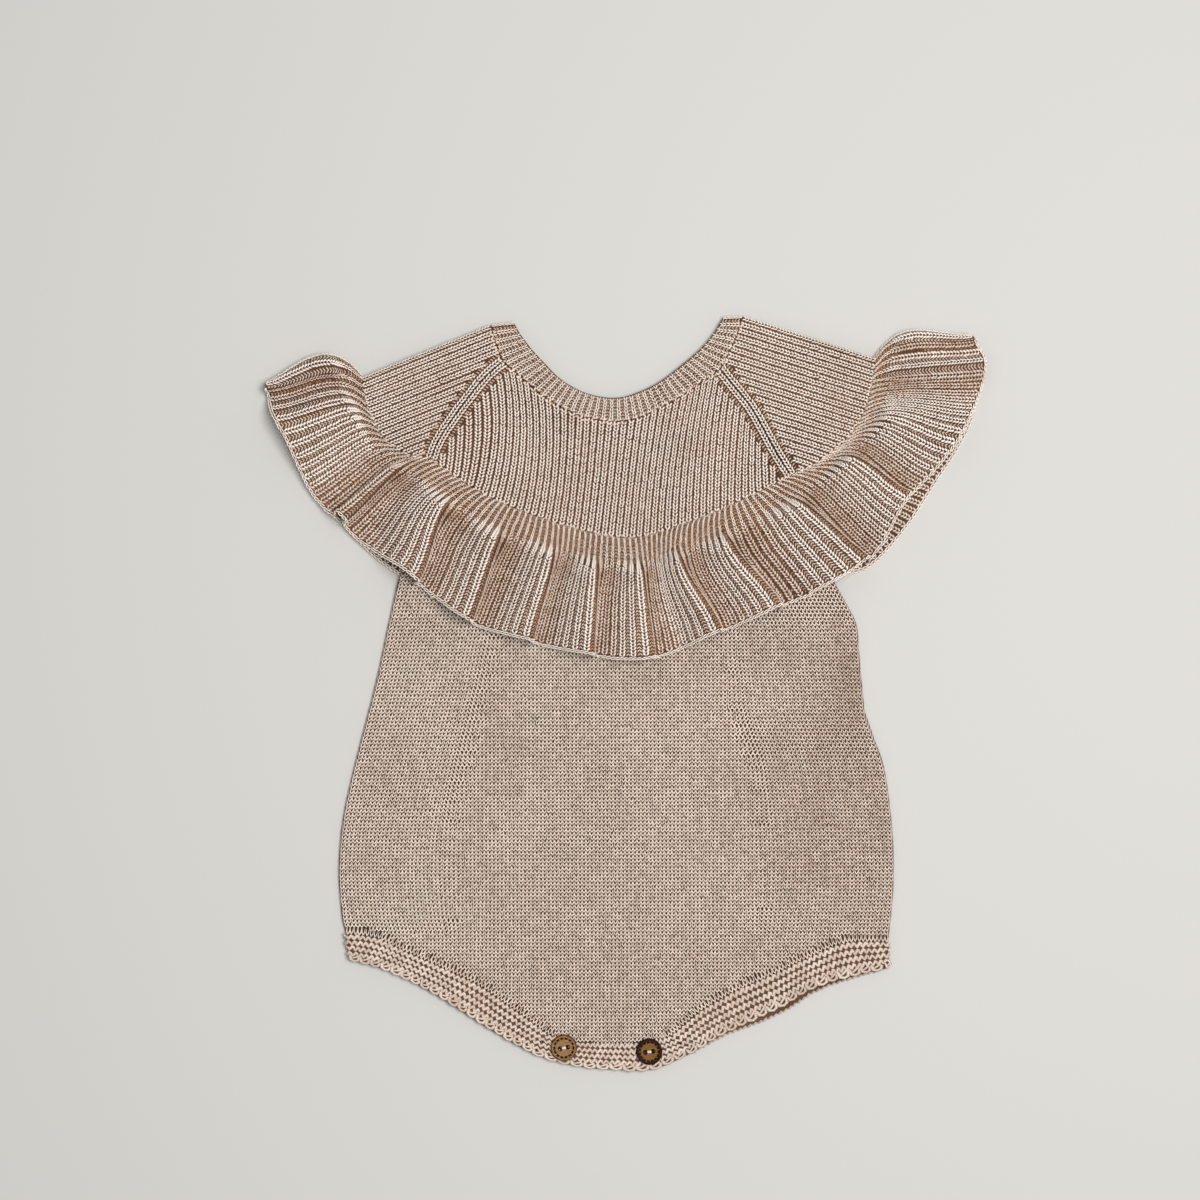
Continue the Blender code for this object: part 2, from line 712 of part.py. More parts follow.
def make_leg_band(name, upper, lower, side, shows):
    """`side` is 1 on the left, where the body lies to the path's left."""
    edge_a = upper.moved(-side * HALF_GAP).cut(FOLD_ROUND, HALF_GAP)
    edge_b = lower.cut(FOLD_ROUND, HALF_GAP)
    away = turn_directions(end_tangent(upper.turned()), end_tangent(lower.turned()),
                           garter_rows)
    columns = [column_between(edge_a.at(s), edge_b.at(s), garter_rows)
               for s in reversed(even(LEG_STATIONS))]
    wall = Wall()
    add_garter(wall, columns)
    hip = columns[-1]
    top = [garter_top(v, r) for r, v in enumerate(garter_rows)]
    under = [LAYER] * len(garter_rows)
    add_turn(wall, hip, top, under, away, [FOLD_ROUND] * len(garter_rows))
    backs = []
    for share in even(LEG_STATIONS):
        start = edge_a.at(share)
        end = edge_b.at(share)
        more = shows * math.sin(math.pi * share) ** 2
        end = end + (end - start) / np.linalg.norm(end - start) * more
        backs.append(column_between(start, end, garter_rows))
    add_back(wall, backs)
    wall.build(name, GARTER_COLOUR)


def make_crotch_bands():
    edge_a = crotch.moved(-HALF_GAP).cut(HALF_GAP, HALF_GAP)
    edge_b = Path(CROTCH_LOWER).cut(HALF_GAP, HALF_GAP)
    columns = [column_between(edge_a.at(s), edge_b.at(s), garter_rows)
               for s in even(CROTCH_STATIONS)]
    front = Wall()
    add_garter(front, columns)
    front.build("crotch_band_front", GARTER_COLOUR)
    back = Wall()
    add_back(back, columns)
    back.build("crotch_band_back", GARTER_COLOUR)


# ---- buttons -------------------------------------------------------------

def turned_solid(name, profile, sides, colour):
    """A solid turned about Z from a profile that starts and ends on the axis."""
    points = [(0.0, 0.0, profile[0][1])]
    rings = profile[1:-1]
    for k in range(sides):
        angle = 2 * math.pi * k / sides
        points += [(r * math.cos(angle), r * math.sin(angle), z) for r, z in rings]
    points.append((0.0, 0.0, profile[-1][1]))
    last = len(points) - 1
    faces = []
    for k in range(sides):
        here = 1 + k * len(rings)
        there = 1 + (k + 1) % sides * len(rings)
        faces.append((0, here, there))
        for r in range(len(rings) - 1):
            faces.append((here + r, here + r + 1, there + r + 1, there + r))
        faces.append((last, there + len(rings) - 1, here + len(rings) - 1))
    return object_from(name, points, faces, colour, roughness=0.45)


def make_button(name, x, y, turn):
    dish = BUTTON_RADIUS - BUTTON_RIM
    top = BUTTON_THICK
    profile = (
        (0.0, top - BUTTON_DISH), (dish - BUTTON_EDGE, top - BUTTON_DISH),
        (dish, top), (BUTTON_RADIUS - BUTTON_EDGE, top),
        (BUTTON_RADIUS, top - BUTTON_EDGE), (BUTTON_RADIUS, BUTTON_EDGE),
        (BUTTON_RADIUS - BUTTON_EDGE, 0.0), (0.0, 0.0),
    )
    button = turned_solid(name, profile, BUTTON_SIDES, BUTTON_COLOUR)
    place = (x * MM, y * MM, (LAYER + CLOTH + GARTER_RISE + GAP) * MM)
    button.location = place
    button.rotation_euler = (0.0, 0.0, math.radians(turn))
    for sign in (-1, 1):
        bpy.ops.mesh.primitive_cylinder_add(
            vertices=HOLE_SIDES, radius=BUTTON_HOLE_RADIUS * MM,
            depth=3 * BUTTON_THICK * MM,
            location=(sign * BUTTON_HOLE_SPACING / 2 * MM, 0.0, 0.0))
        cutter = bpy.context.object
        cutter.name = name + "_hole_cutter"
        cutter.parent = button
        cutter.hide_render = True
        cutter.display_type = "WIRE"
        hole = button.modifiers.new("hole", "BOOLEAN")
        hole.operation = "DIFFERENCE"
        hole.solver = "EXACT"
        hole.object = cutter


def main():
    for old in list(bpy.data.objects):
        bpy.data.objects.remove(old, do_unlink=True)
    make_bodies()
    make_yokes()
    make_cap("shoulder_cap_left", raglan_left, neck_end_left, cap_seam_left,
             CAP_RIBS_LEFT, 1)
    make_cap("shoulder_cap_right", raglan_right, neck_end_right, cap_seam_right,
             CAP_RIBS_RIGHT, -1)
    make_neckband()
    make_ruffle()
    make_leg_band("leg_band_left", leg_left, Path(LEG_LOWER_LEFT), 1,
                  BACK_BAND_SHOWS["left"])
    make_leg_band("leg_band_right", leg_right, Path(LEG_LOWER_RIGHT), -1,
                  BACK_BAND_SHOWS["right"])
    make_crotch_bands()
    for button in BUTTONS:
        make_button(*button)


main()
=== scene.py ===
import math

import bpy
import numpy as np
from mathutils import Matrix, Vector


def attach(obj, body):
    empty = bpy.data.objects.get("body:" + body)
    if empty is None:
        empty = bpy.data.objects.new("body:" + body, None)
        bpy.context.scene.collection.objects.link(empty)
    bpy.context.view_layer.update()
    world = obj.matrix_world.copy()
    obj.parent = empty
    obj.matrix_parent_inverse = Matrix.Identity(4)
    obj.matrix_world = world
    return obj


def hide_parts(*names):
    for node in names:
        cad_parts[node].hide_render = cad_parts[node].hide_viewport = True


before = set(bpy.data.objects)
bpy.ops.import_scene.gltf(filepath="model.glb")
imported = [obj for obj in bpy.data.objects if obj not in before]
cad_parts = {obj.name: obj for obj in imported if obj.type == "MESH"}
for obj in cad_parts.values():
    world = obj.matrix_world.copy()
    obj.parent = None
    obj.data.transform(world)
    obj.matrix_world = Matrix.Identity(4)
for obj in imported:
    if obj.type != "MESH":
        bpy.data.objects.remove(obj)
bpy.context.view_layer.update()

scene = bpy.context.scene
mm = 0.001               # every size below is in millimetres, meshes are in metres

# cloth and how the layers lie on each other
cloth = {"wall": 1.8, "gap": 0.3, "seamGap": 0.5, "seamLevel": 4.0, "foldRound": 2.4,
         "sideRound": 2.6, "sideThin": 0.25, "bodyPuff": 1.4, "puffReach": 22.0,
         "yokePuff": 1.2, "topInset": 6.8,
         # over how far the front comes down past the back hem, and past the body's sides
         "backEdge": 4.0, "slope": 16.0, "ruffleAir": 0.7,
         # a row of rib, how far stitches stray, and the level below which there are none
         "row": 1.7, "wander": 0.07, "lowest": 1.2}
layer = cloth["wall"] + cloth["gap"]
halfGap = cloth["seamGap"] / 2
upright = (0.0, 0.0, 1.0)
lineSteps = 8            # points that a smooth line has from one knot to the next


# curves and numbers

def smoothLine(points):
    knots = np.array(points, float)
    ends = np.vstack([2 * knots[0] - knots[1], knots, 2 * knots[-1] - knots[-2]])
    t = (np.arange(lineSteps) / lineSteps)[:, None]
    parts = [0.5 * (2 * b + (c - a) * t + (2 * a - 5 * b + 4 * c - d) * t ** 2
                    + (3 * b - a - 3 * c + d) * t ** 3)
             for a, b, c, d in zip(ends, ends[1:], ends[2:], ends[3:])]
    return np.vstack(parts + [knots[-1:]])


def lineLengths(line):
    steps = np.linalg.norm(np.diff(line, axis=0), axis=1)
    return np.concatenate([[0.0], np.cumsum(steps)])


def lineAt(line, share):
    along = lineLengths(line)
    place = np.asarray(share, float) * along[-1]
    return np.stack([np.interp(place, along, line[:, k]) for k in range(line.shape[1])], -1)


# direction of a line at shares of its length
def lineAhead(line, share, step=0.004):
    return unit(lineAt(line, share + step) - lineAt(line, share - step))


def yAt(line, x):
    return np.interp(x, line[:, 0], line[:, 1])


def xAt(line, y):
    return np.interp(-np.asarray(y), -line[:, 1], line[:, 0])


def moveLine(line, distance):
    ahead = np.gradient(line, axis=0)
    ahead /= np.linalg.norm(ahead, axis=1)[:, None]
    return line + distance * np.stack([-ahead[:, 1], ahead[:, 0]], 1)


def joinLines(first, *others):
    return np.vstack([first] + [line[1:] for line in others])


def endTangent(line):
    step = line[-1] - line[-3]
    return step / np.linalg.norm(step)


def lineDistance(x, y, line):
    place = np.stack([np.ravel(x), np.ravel(y)], 1)
    best = np.full(len(place), 1e9)
    for a, b in zip(line, line[1:]):
        run = b - a
        share = np.clip(((place - a) @ run) / (run @ run), 0, 1)
        best = np.minimum(best, np.linalg.norm(place - a - share[:, None] * run, axis=1))
    return best.reshape(np.shape(x))


def smoothStep(value, low=0.0, high=1.0):
    share = np.clip((np.asarray(value, float) - low) / (high - low), 0, 1)
    return share * share * (3 - 2 * share)


def mix(a, b, share):
    return a + (b - a) * share


def unit(vectors):
    return vectors / np.maximum(np.linalg.norm(vectors, axis=-1, keepdims=True), 1e-9)


def paired(u, v):
    return np.broadcast_arrays(np.asarray(u, float), np.asarray(v, float))


# points from a plan and the height over it
def raised(plan, height):
    return np.concatenate([plan, np.broadcast_to(height, plan.shape[:-1])[..., None]], -1)


# soft waves of a few sizes, the same each run
def softNoise(x, y, size, seed):
    draw = np.random.default_rng(seed)
    total = 0.0
    for k in range(5):
        turn = draw.uniform(0, 2 * math.pi)
        phase = draw.uniform(0, 2 * math.pi)
        wide = size * draw.uniform(0.7, 1.6)
        total = total + np.sin((x * math.cos(turn) + y * math.sin(turn)) * 2 * math.pi / wide
                               + phase)
    return total / 5


# the garment's lines, x and y

sideLeft = smoothLine([
    (-100.4, 121.7), (-108.7, 95.2), (-117.5, 58.8), (-123.2, 34.3), (-128.4, 9.4),
    (-134.2, -13.5), (-140.4, -37.4), (-146.6, -66.0), (-148.7, -92.0),
    (-147.2, -114.9), (-145.1, -124.8)])
sideRight = smoothLine([
    (85.8, 112.8), (92.0, 97.8), (99.3, 82.2), (108.7, 57.7), (116.0, 44.7),
    (120.6, 34.3), (121.7, 17.2), (123.2, 4.2), (125.3, -13.0), (133.6, -34.8),
    (137.3, -55.6), (139.4, -79.0), (139.4, -102.4), (136.8, -129.0)])
legUpperLeft = smoothLine([
    (-145.1, -124.8), (-129.5, -126.9), (-114.9, -133.6), (-95.7, -142.0),
    (-76.4, -151.3), (-61.9, -161.2), (-49.4, -170.0), (-40.0, -177.0)])
legUpperRight = smoothLine([
    (136.8, -129.0), (114.4, -129.5), (98.3, -135.7), (77.5, -145.6),
    (56.2, -155.0), (40.0, -164.3), (31.7, -171.0), (23.9, -177.8)])
crotchUpper = smoothLine([
    (-40.0, -177.0), (-28.6, -180.4), (-13.0, -181.5), (2.6, -181.5),
    (15.6, -180.4), (23.9, -177.8)])
legLowerLeft = smoothLine([
    (-142.9, -138.6), (-129.5, -142.0), (-114.9, -147.7), (-95.7, -158.1),
    (-76.4, -170.6), (-61.9, -179.4), (-47.8, -187.2)])
legLowerRight = smoothLine([
    (136.4, -142.7), (119.6, -146.6), (98.3, -152.9), (82.7, -162.2),
    (66.6, -170.0), (50.4, -177.3), (34.8, -186.7)])
crotchLower = smoothLine([
    (-47.8, -187.2), (-33.3, -191.9), (-18.7, -194.5), (-4.2, -195.5),
    (7.8, -196.0), (18.7, -194.0), (34.8, -186.7)])
neckSeam = smoothLine([
    (-63.4, 172.1), (-54.6, 164.3), (-44.2, 155.5), (-33.8, 148.7), (-23.4, 144.0),
    (-13.0, 141.4), (-2.6, 140.9), (7.8, 143.0), (18.2, 148.2), (28.6, 153.9),
    (39.0, 160.7), (49.4, 168.0)])
neckOpening = smoothLine([
    (-56.4, 190.0), (-54.1, 186.0), (-48.4, 178.4), (-41.6, 171.1), (-33.8, 163.3),
    (-23.4, 157.0), (-13.0, 153.9), (-2.6, 153.4), (7.8, 156.5), (18.2, 161.7),
    (28.6, 169.5), (39.0, 178.4), (46.0, 186.6), (49.6, 192.6)])
neckEndLeft = smoothLine([(-69.3, 188.6), (-67.1, 181.0), (-63.4, 172.1)])
neckEndRight = smoothLine([(60.6, 193.2), (56.2, 181.0), (49.4, 168.0)])
raglanLeft = smoothLine([
    (-63.4, 172.1), (-72.3, 164.3), (-81.6, 152.9), (-91.0, 139.9), (-97.2, 130.0),
    (-100.4, 121.7)])
raglanRight = smoothLine([
    (49.4, 168.0), (56.2, 159.6), (64.5, 149.2), (71.2, 137.8), (78.0, 125.3),
    (85.8, 112.8)])
yokeSeam = smoothLine([
    (-100.4, 121.7), (-91.0, 114.9), (-80.6, 107.6), (-68.1, 100.9), (-54.6, 95.2),
    (-41.6, 90.5), (-30.2, 86.8), (-10.9, 82.2), (6.8, 81.1), (26.5, 86.8),
    (42.6, 92.6), (61.4, 100.9), (74.4, 107.2), (85.8, 112.8)])
capSeamLeft = smoothLine([
    (-135.9, 161.1), (-134.0, 150.6), (-130.0, 140.9), (-123.2, 130.8),
    (-112.8, 124.0), (-100.4, 121.7)])
capSeamRight = smoothLine([
    (129.3, 170.9), (127.6, 160.2), (124.9, 149.8), (120.1, 139.4), (112.8, 130.0),
    (102.4, 122.0), (93.6, 116.5), (85.8, 112.8)])
backHem = smoothLine([
    (-185.8, 158.1), (-180.4, 139.4), (-169.0, 116.0), (-153.4, 95.2), (-142.0, 83.2),
    (-127.4, 69.2), (-110.8, 58.8), (-85.8, 48.4), (-49.4, 38.0), (-18.2, 32.8),
    (13.0, 31.7), (47.3, 42.1), (80.6, 53.6), (106.6, 61.4), (126.4, 66.0),
    (145.6, 86.3), (161.7, 110.8), (173.2, 128.4), (180.4, 144.6), (184.0, 166.0),
    (181.0, 183.6)])

bodyBottom = joinLines(legUpperLeft, crotchUpper, legUpperRight[::-1])
neckEdge = joinLines(neckEndLeft, neckSeam, neckEndRight[::-1])
yokeTop = joinLines(raglanLeft[::-1], neckSeam, raglanRight)
ruffleRoot = joinLines(capSeamLeft, yokeSeam, capSeamRight[::-1])


# heights of the layers

def sideDistance(x, y):
    return np.minimum(x - xAt(sideLeft, y), xAt(sideRight, y) - x)


def backLift(x, y):
    past = y + cloth["backEdge"] - yAt(backHem, x)
    return layer * smoothStep(past, -cloth["slope"], 0.0)


def frontUnder(x, y):
    air = cloth["bodyPuff"]
    for distance in (sideDistance(x, y), yAt(yokeSeam, x) - cloth["topInset"] - y,
                     y - yAt(bodyBottom, x)):
        air = air * (1 - np.exp(-np.maximum(distance, 0) / cloth["puffReach"]))
    return backLift(x, y) + layer + air


def upperUnder(v):
    return (layer + cloth["yokePuff"] * np.sin(math.pi * np.clip(v, 0, 1))
            + (cloth["seamLevel"] - layer) * smoothStep(v, 0.2, 1.0))


def ruffleBase(x, y):
    inside = np.clip(x, xAt(sideLeft, y), xAt(sideRight, y))
    onBody = frontUnder(inside, y) + cloth["wall"] + cloth["ruffleAir"]
    return mix(layer, onBody, smoothStep(sideDistance(x, y), -cloth["slope"], 0.0))


# meshes

def addObject(name, data):
    made = bpy.data.objects.new(name, data)
    scene.collection.objects.link(made)
    return made


def meshObject(name, points, faces, material=None, smooth=True, scale=mm):
    mesh = bpy.data.meshes.new(name)
    mesh.from_pydata((np.asarray(points, float) * scale).tolist(), [], faces)
    mesh.validate()
    mesh.polygons.foreach_set("use_smooth", [smooth] * len(mesh.polygons))
    if material:
        mesh.materials.append(material)
    return addObject(name, mesh)


def gridFaces(columns, rows, start, ring, inside):
    c = np.arange(columns if ring else columns - 1)[:, None]
    r = np.arange(rows - 1)[None, :]
    here, there = start + c * rows + r, start + (c + 1) % columns * rows + r
    quads = np.stack([here, here + 1, there + 1, there], -1).reshape(-1, 4)
    return (quads[:, ::-1] if inside else quads).tolist()


# a closed wall between an outer and an inner grid of points [column][row]
def wallObject(name, outer, inner, material, ring=False):
    columns, rows = outer.shape[:2]
    shift = columns * rows
    faces = gridFaces(columns, rows, 0, ring, False) + gridFaces(columns, rows, shift, ring, True)
    c = np.arange(columns if ring else columns - 1)
    here, there = c * rows, (c + 1) % columns * rows
    last = rows - 1
    faces += np.stack([here, there, there + shift, here + shift], -1).tolist()
    faces += np.stack([here + last, here + last + shift, there + last + shift,
                       there + last], -1).tolist()
    if not ring:
        r = np.arange(rows - 1)
        end = (columns - 1) * rows
        faces += np.stack([r, r + shift, r + 1 + shift, r + 1], -1).tolist()
        faces += np.stack([end + r, end + r + 1, end + r + 1 + shift, end + r + shift],
                          -1).tolist()
    return meshObject(name, np.vstack([outer.reshape(-1, 3), inner.reshape(-1, 3)]), faces,
                      material)


# the directions in which two lines run on past both of their ends
def awayFrom(first, last):
    return {"start": (endTangent(first[::-1]), endTangent(last[::-1])),
            "end": (endTangent(first), endTangent(last))}


# the columns with which a wall turns under at its start or its end, outer and inner
def turnColumns(outer, inner, key, away, rows, width):
    edge = 0 if key == "start" else -1
    plan, top = outer[edge, :, :2], outer[edge, :, 2]
    low, high = cloth["wall"], np.maximum(inner[edge, :, 2], cloth["wall"] + 0.05)
    ahead = unit(mix(*away[key], rows[:, None]))
    width = np.broadcast_to(width, len(rows))
    narrow = np.maximum(width - cloth["wall"], cloth["gap"])
    angles = np.radians(np.linspace(67.5, -67.5, 7))
    turned = [], []
    for angle in angles[::-1] if key == "start" else angles:
        out, rise = math.cos(angle), math.sin(angle)
        for part, reach, height in ((turned[0], width, top / 2 * (1 + rise)),
                                    (turned[1], narrow,
                                     (low + high) / 2 + rise * (high - low) / 2)):
            part.append(raised(plan + ahead * (reach * out)[:, None], height))
    return np.array(turned[0]), np.array(turned[1])


# the flat back layer between two lines, outer and inner
def flatBack(start, end, rows):
    columns = mix(start[:, None], end[:, None], rows[None, :, None])
    return raised(columns, 0.0), raised(columns, cloth["wall"])


def joinWalls(*parts):
    return [np.concatenate([part[k] for part in parts]) for k in (0, 1)]


# a piece with one fold and its back half, in order from left to right
def foldedWall(side, front, turned, back):
    return joinWalls(back, turned, front) if side == "left" else joinWalls(front, turned, back)


# yarn shapes that are repeated

# a rod of yarn through points, pointed at both ends
def yarnRod(path, radius, corners, flat=1.0):
    path = np.array(path, float)
    radius = np.broadcast_to(radius, len(path))
    ahead = unit(np.gradient(path, axis=0))
    side = unit(np.cross(ahead, upright))
    up = np.cross(side, ahead)
    points, faces = [path[0]], []
    for k in range(1, len(path) - 1):
        for c in range(corners):
            angle = 2 * math.pi * (c + 0.5 * (corners == 3)) / corners + math.pi / 2
            points.append(path[k] + radius[k] * (math.cos(angle) * side[k]
                                              + flat * math.sin(angle) * up[k]))
    points.append(path[-1])
    last = len(points) - 1
    for c in range(corners):
        d = (c + 1) % corners
        faces.append((0, 1 + d, 1 + c))
        for k in range(len(path) - 3):
            a = 1 + k * corners
            faces.append((a + c, a + d, a + corners + d, a + corners + c))
        faces.append((last, last - corners + c, last - corners + d))
    return np.array(points), faces


# a plain stitch: one heart-shaped body whose arms run up under the stitch above
def plainHeart():
    outer = [(-0.48, 0.78, -0.55), (-0.53, -0.02, -0.10), (0.0, -0.64, -0.35),
             (0.53, -0.02, -0.10), (0.48, 0.78, -0.55)]
    ridge = [(-0.40, 0.72, -0.35), (-0.37, 0.10, 0.40), (0.0, -0.38, 0.34),
             (0.37, 0.10, 0.40), (0.40, 0.72, -0.35)]
    inner = [(-0.27, 0.60, -0.55), (-0.20, 0.12, -0.05), (0.0, -0.17, 0.0),
             (0.20, 0.12, -0.05), (0.27, 0.60, -0.55)]
    faces = []
    for k in range(4):
        faces.append((k, k + 1, k + 6, k + 5))
        faces.append((k + 5, k + 6, k + 11, k + 10))
    faces += [(0, 5, 10), (4, 14, 9), (4, 3, 2, 1, 0, 10, 11, 12, 13, 14)]
    return np.array(outer + ridge + inner), faces


def joinRods(rods):
    points, faces = [], []
    for rod, rodFaces in rods:
        start = sum(len(p) for p in points)
        points.append(rod)
        faces += [tuple(start + i for i in face) for face in rodFaces]
    return np.vstack(points), faces


def shapeObject(name, *rods):
    return meshObject(name, *joinRods(rods), scale=1.0)


def mirrored(path):
    return [(-x, y, z) for x, y, z in path]


# a knit stitch: two legs that meet below; one unit is a column, a row and 1 mm
ribLeg = [(0.03, -0.66, -0.50), (0.14, -0.38, 0.06), (0.29, 0.0, 0.28), (0.33, 0.34, 0.10),
          (0.29, 0.68, -0.50)]
plainStitch = shapeObject("plainStitch", plainHeart())
ribStitch = shapeObject("ribStitch", yarnRod(ribLeg, 0.165, 3, 1.5),
                        yarnRod(mirrored(ribLeg), 0.165, 3, 1.5))
# a purl bump: one short arc across the column
purlStitch = shapeObject("purlStitch", yarnRod(
    [(-0.62, -0.34, -0.35), (-0.26, 0.0, 0.12), (0.3, 0.22, 0.12), (0.62, -0.04, -0.35)],
    0.24, 4, 1.2))
# the strand that crosses the trough between two ribs, bent in the middle
troughStitch = shapeObject("troughStitch", yarnRod(
    [(-0.66, -0.50, -0.35), (-0.34, -0.10, 0.10), (0.0, 0.36, 0.02), (0.34, -0.10, 0.10),
     (0.66, -0.50, -0.35)], 0.19, 3, 1.3))
# one wave of a garter ridge, along x
garterWave = shapeObject("garterWave", yarnRod(
    [(x, 0.5 * math.sin(2 * math.pi * x), z) for x, z in
     ((-0.62, -0.5), (-0.45, 0.0), (-0.25, 0.35), (0.0, 0.1), (0.25, 0.35), (0.45, 0.0),
      (0.62, -0.5))], 0.34, 4, 1.0))
# a loop of the bound-off edge, long way across the edge
edgeLoop = shapeObject(
    "edgeLoop",
    yarnRod([(-0.50, 0.62, -0.5), (-0.42, 0.26, 0.2), (-0.34, -0.16, 0.35),
             (0.0, -0.34, 0.25), (0.32, -0.18, 0.3), (0.40, 0.14, 0.2), (0.30, 0.42, -0.5)],
            0.17, 4, 1.2),
    yarnRod([(0.46, 0.62, -0.5), (0.24, 0.38, 0.3), (0.0, 0.20, 0.4), (-0.24, 0.0, 0.2),
             (-0.34, -0.2, -0.4)], 0.13, 4, 1.2))


# nodes

# adds a node to a tree: its inputs, each a value or another node's output, and settings
def nodeAdder(tree):
    def add(kind, inputs=None, **settings):
        node = tree.nodes.new(kind)
        for key, value in settings.items():
            setattr(node, key, value)
        for key, value in (inputs or {}).items():
            if isinstance(value, bpy.types.NodeSocket):
                tree.links.new(value, node.inputs[key])
            else:
                node.inputs[key].default_value = value
        return node
    return add


def mathsNode(add, operation, *values, kind="ShaderNodeMath", **settings):
    return add(kind, dict(enumerate(values)), operation=operation, **settings).outputs[0]


# the tree that lays stitches on points
def makeStitchTree():
    tree = bpy.data.node_groups.new("stitches", "GeometryNodeTree")
    for name, kind in (("Geometry", "Geometry"), ("Stitch", "Object"), ("Yarn", "Material"),
                       ("Uneven size", "Float"), ("Uneven shade", "Float"), ("Seed", "Int")):
        tree.interface.new_socket(name, in_out="INPUT", socket_type="NodeSocket" + kind)
    tree.interface.new_socket("Geometry", in_out="OUTPUT", socket_type="NodeSocketGeometry")
    add = nodeAdder(tree)
    given = add("NodeGroupInput").outputs

    def named(name, kind="FLOAT_VECTOR"):
        return add("GeometryNodeInputNamedAttribute", {"Name": name},
                   data_type=kind).outputs["Attribute"]

    # a random number for each stitch, up to the amount either way
    def spread(amount, offset):
        seed = mathsNode(add, "ADD", given["Seed"], offset, kind="FunctionNodeIntegerMath")
        least = mathsNode(add, "MULTIPLY", amount, -1.0)
        return add("FunctionNodeRandomValue", {2: least, 3: amount, "Seed": seed},
                   data_type="FLOAT").outputs[1]

    stand = add("FunctionNodeAlignRotationToVector", {"Vector": named("facing")}, axis="Z")
    lay = add("FunctionNodeAlignRotationToVector",
              {"Rotation": stand.outputs["Rotation"], "Vector": named("upward")},
              axis="Y", pivot_axis="Z")
    grown = mathsNode(add, "ADD", spread(given["Uneven size"], 0), 1.0)
    size = add("ShaderNodeVectorMath", {0: named("size"), "Scale": grown}, operation="SCALE")
    source = add("GeometryNodeObjectInfo", {"Object": given["Stitch"]})
    laid = add("GeometryNodeInstanceOnPoints",
               {"Points": given["Geometry"], "Instance": source.outputs["Geometry"],
                "Rotation": lay.outputs["Rotation"], "Scale": size.outputs[0]})
    tone = mathsNode(add, "ADD", named("shade", "FLOAT"), spread(given["Uneven shade"], 1))
    toned = add("GeometryNodeStoreNamedAttribute",
                {"Geometry": laid.outputs["Instances"], "Name": "tone", "Value": tone},
                data_type="FLOAT", domain="INSTANCE")
    real = add("GeometryNodeRealizeInstances", {"Geometry": toned.outputs["Geometry"]})
    paint = add("GeometryNodeSetMaterial",
                {"Geometry": real.outputs["Geometry"], "Material": given["Yarn"]})
    add("NodeGroupOutput", {"Geometry": paint.outputs["Geometry"]})
    return tree


stitchTree = makeStitchTree()


# lays one shape on many places; facing and upward turn each, size is in millimetres
def layStitches(name, shape, yarn, places, upward, facing, size, shade, unevenSize,
                unevenShade, seed):
    above = places[:, 2] > cloth["lowest"]
    places, upward, facing, size, shade = (
        np.broadcast_to(values, (len(above),) + np.shape(values)[np.ndim(values) - rank:])[above]
        for values, rank in ((places, 1), (upward, 1), (facing, 1), (size, 1), (shade, 0)))
    count = len(places)
    places = places + np.random.default_rng(seed).normal(0, cloth["wander"], (count, 3))
    mesh = bpy.data.meshes.new(name)
    mesh.from_pydata((places * mm).tolist(), [], [])
    size = size * mm
    for key, values in (("upward", upward), ("facing", facing), ("size", size)):
        field = mesh.attributes.new(key, "FLOAT_VECTOR", "POINT")
        field.data.foreach_set("vector", np.ascontiguousarray(values, float).ravel())
    field = mesh.attributes.new("shade", "FLOAT", "POINT")
    field.data.foreach_set("value", np.ascontiguousarray(shade, float))
    holder = addObject(name + "_places", mesh)
    modifier = holder.modifiers.new("stitches", "NODES")
    modifier.node_group = stitchTree
    values = {"Stitch": shape, "Yarn": yarn, "Uneven size": unevenSize,
              "Uneven shade": unevenShade, "Seed": seed}
    for item in stitchTree.interface.items_tree:
        if item.in_out == "INPUT" and item.name in values:
            modifier[item.identifier] = values[item.name]
    graph = bpy.context.evaluated_depsgraph_get()
    graph.update()
    result = bpy.data.meshes.new_from_object(holder.evaluated_get(graph))
    result.name = name
    bpy.data.objects.remove(holder)
    bpy.data.meshes.remove(mesh)
    print(name, count, "stitches,", sum(len(p.vertices) - 2 for p in result.polygons),
          "triangles")
    return addObject(name, result)


# directions of a surface that is given as points for (u, v)
def surfaceFrame(surface, u, v, du):
    dv = 0.01
    along = surface(u, v + dv) - surface(u, v - dv)
    across = surface(u + du, v) - surface(u - du, v)
    facing = unit(np.cross(along, across))
    return unit(along), unit(across), facing


# u and v of stitches that follow lines of constant u, a row apart
def rowPlaces(surface, columns, pitch, first=0.0, last=1.0):
    fine = np.linspace(first, last, 80)
    us, vs = [], []
    for u in columns:
        along = lineLengths(surface(np.full_like(fine, u), fine))
        count = max(int(round(along[-1] / pitch)), 1)
        vs.append(np.interp((np.arange(count) + 0.5) / count * along[-1], along, fine))
        us.append(np.full(count, u))
    return np.concatenate(us), np.concatenate(vs)


# width of each column square to it, where a rib is one unit of u
def columnWidths(surface, us, vs, along, across, step=0.5):
    wide = np.linalg.norm(surface(us + step, vs) - surface(us - step, vs), axis=1) / (2 * step)
    lean = np.abs(np.sum(along * across, axis=1))
    return wide * np.sqrt(1 - lean ** 2)


# a size for each stitch: widths, and the same row and height for all
def stitchSizes(width, row, tall):
    return np.stack([width, np.full_like(width, row), np.full_like(width, tall)], -1)


# a surface between two lines: u counts ribs along them, v runs from the first to the last
def betweenLines(first, last, ribs, height):
    def surface(u, v):
        u, v = paired(u, v)
        plan = mix(lineAt(first, u / ribs), lineAt(last, u / ribs), v[..., None])
        return raised(plan, height(v))
    return surface


def plainFold(key, v):
    return cloth["foldRound"]


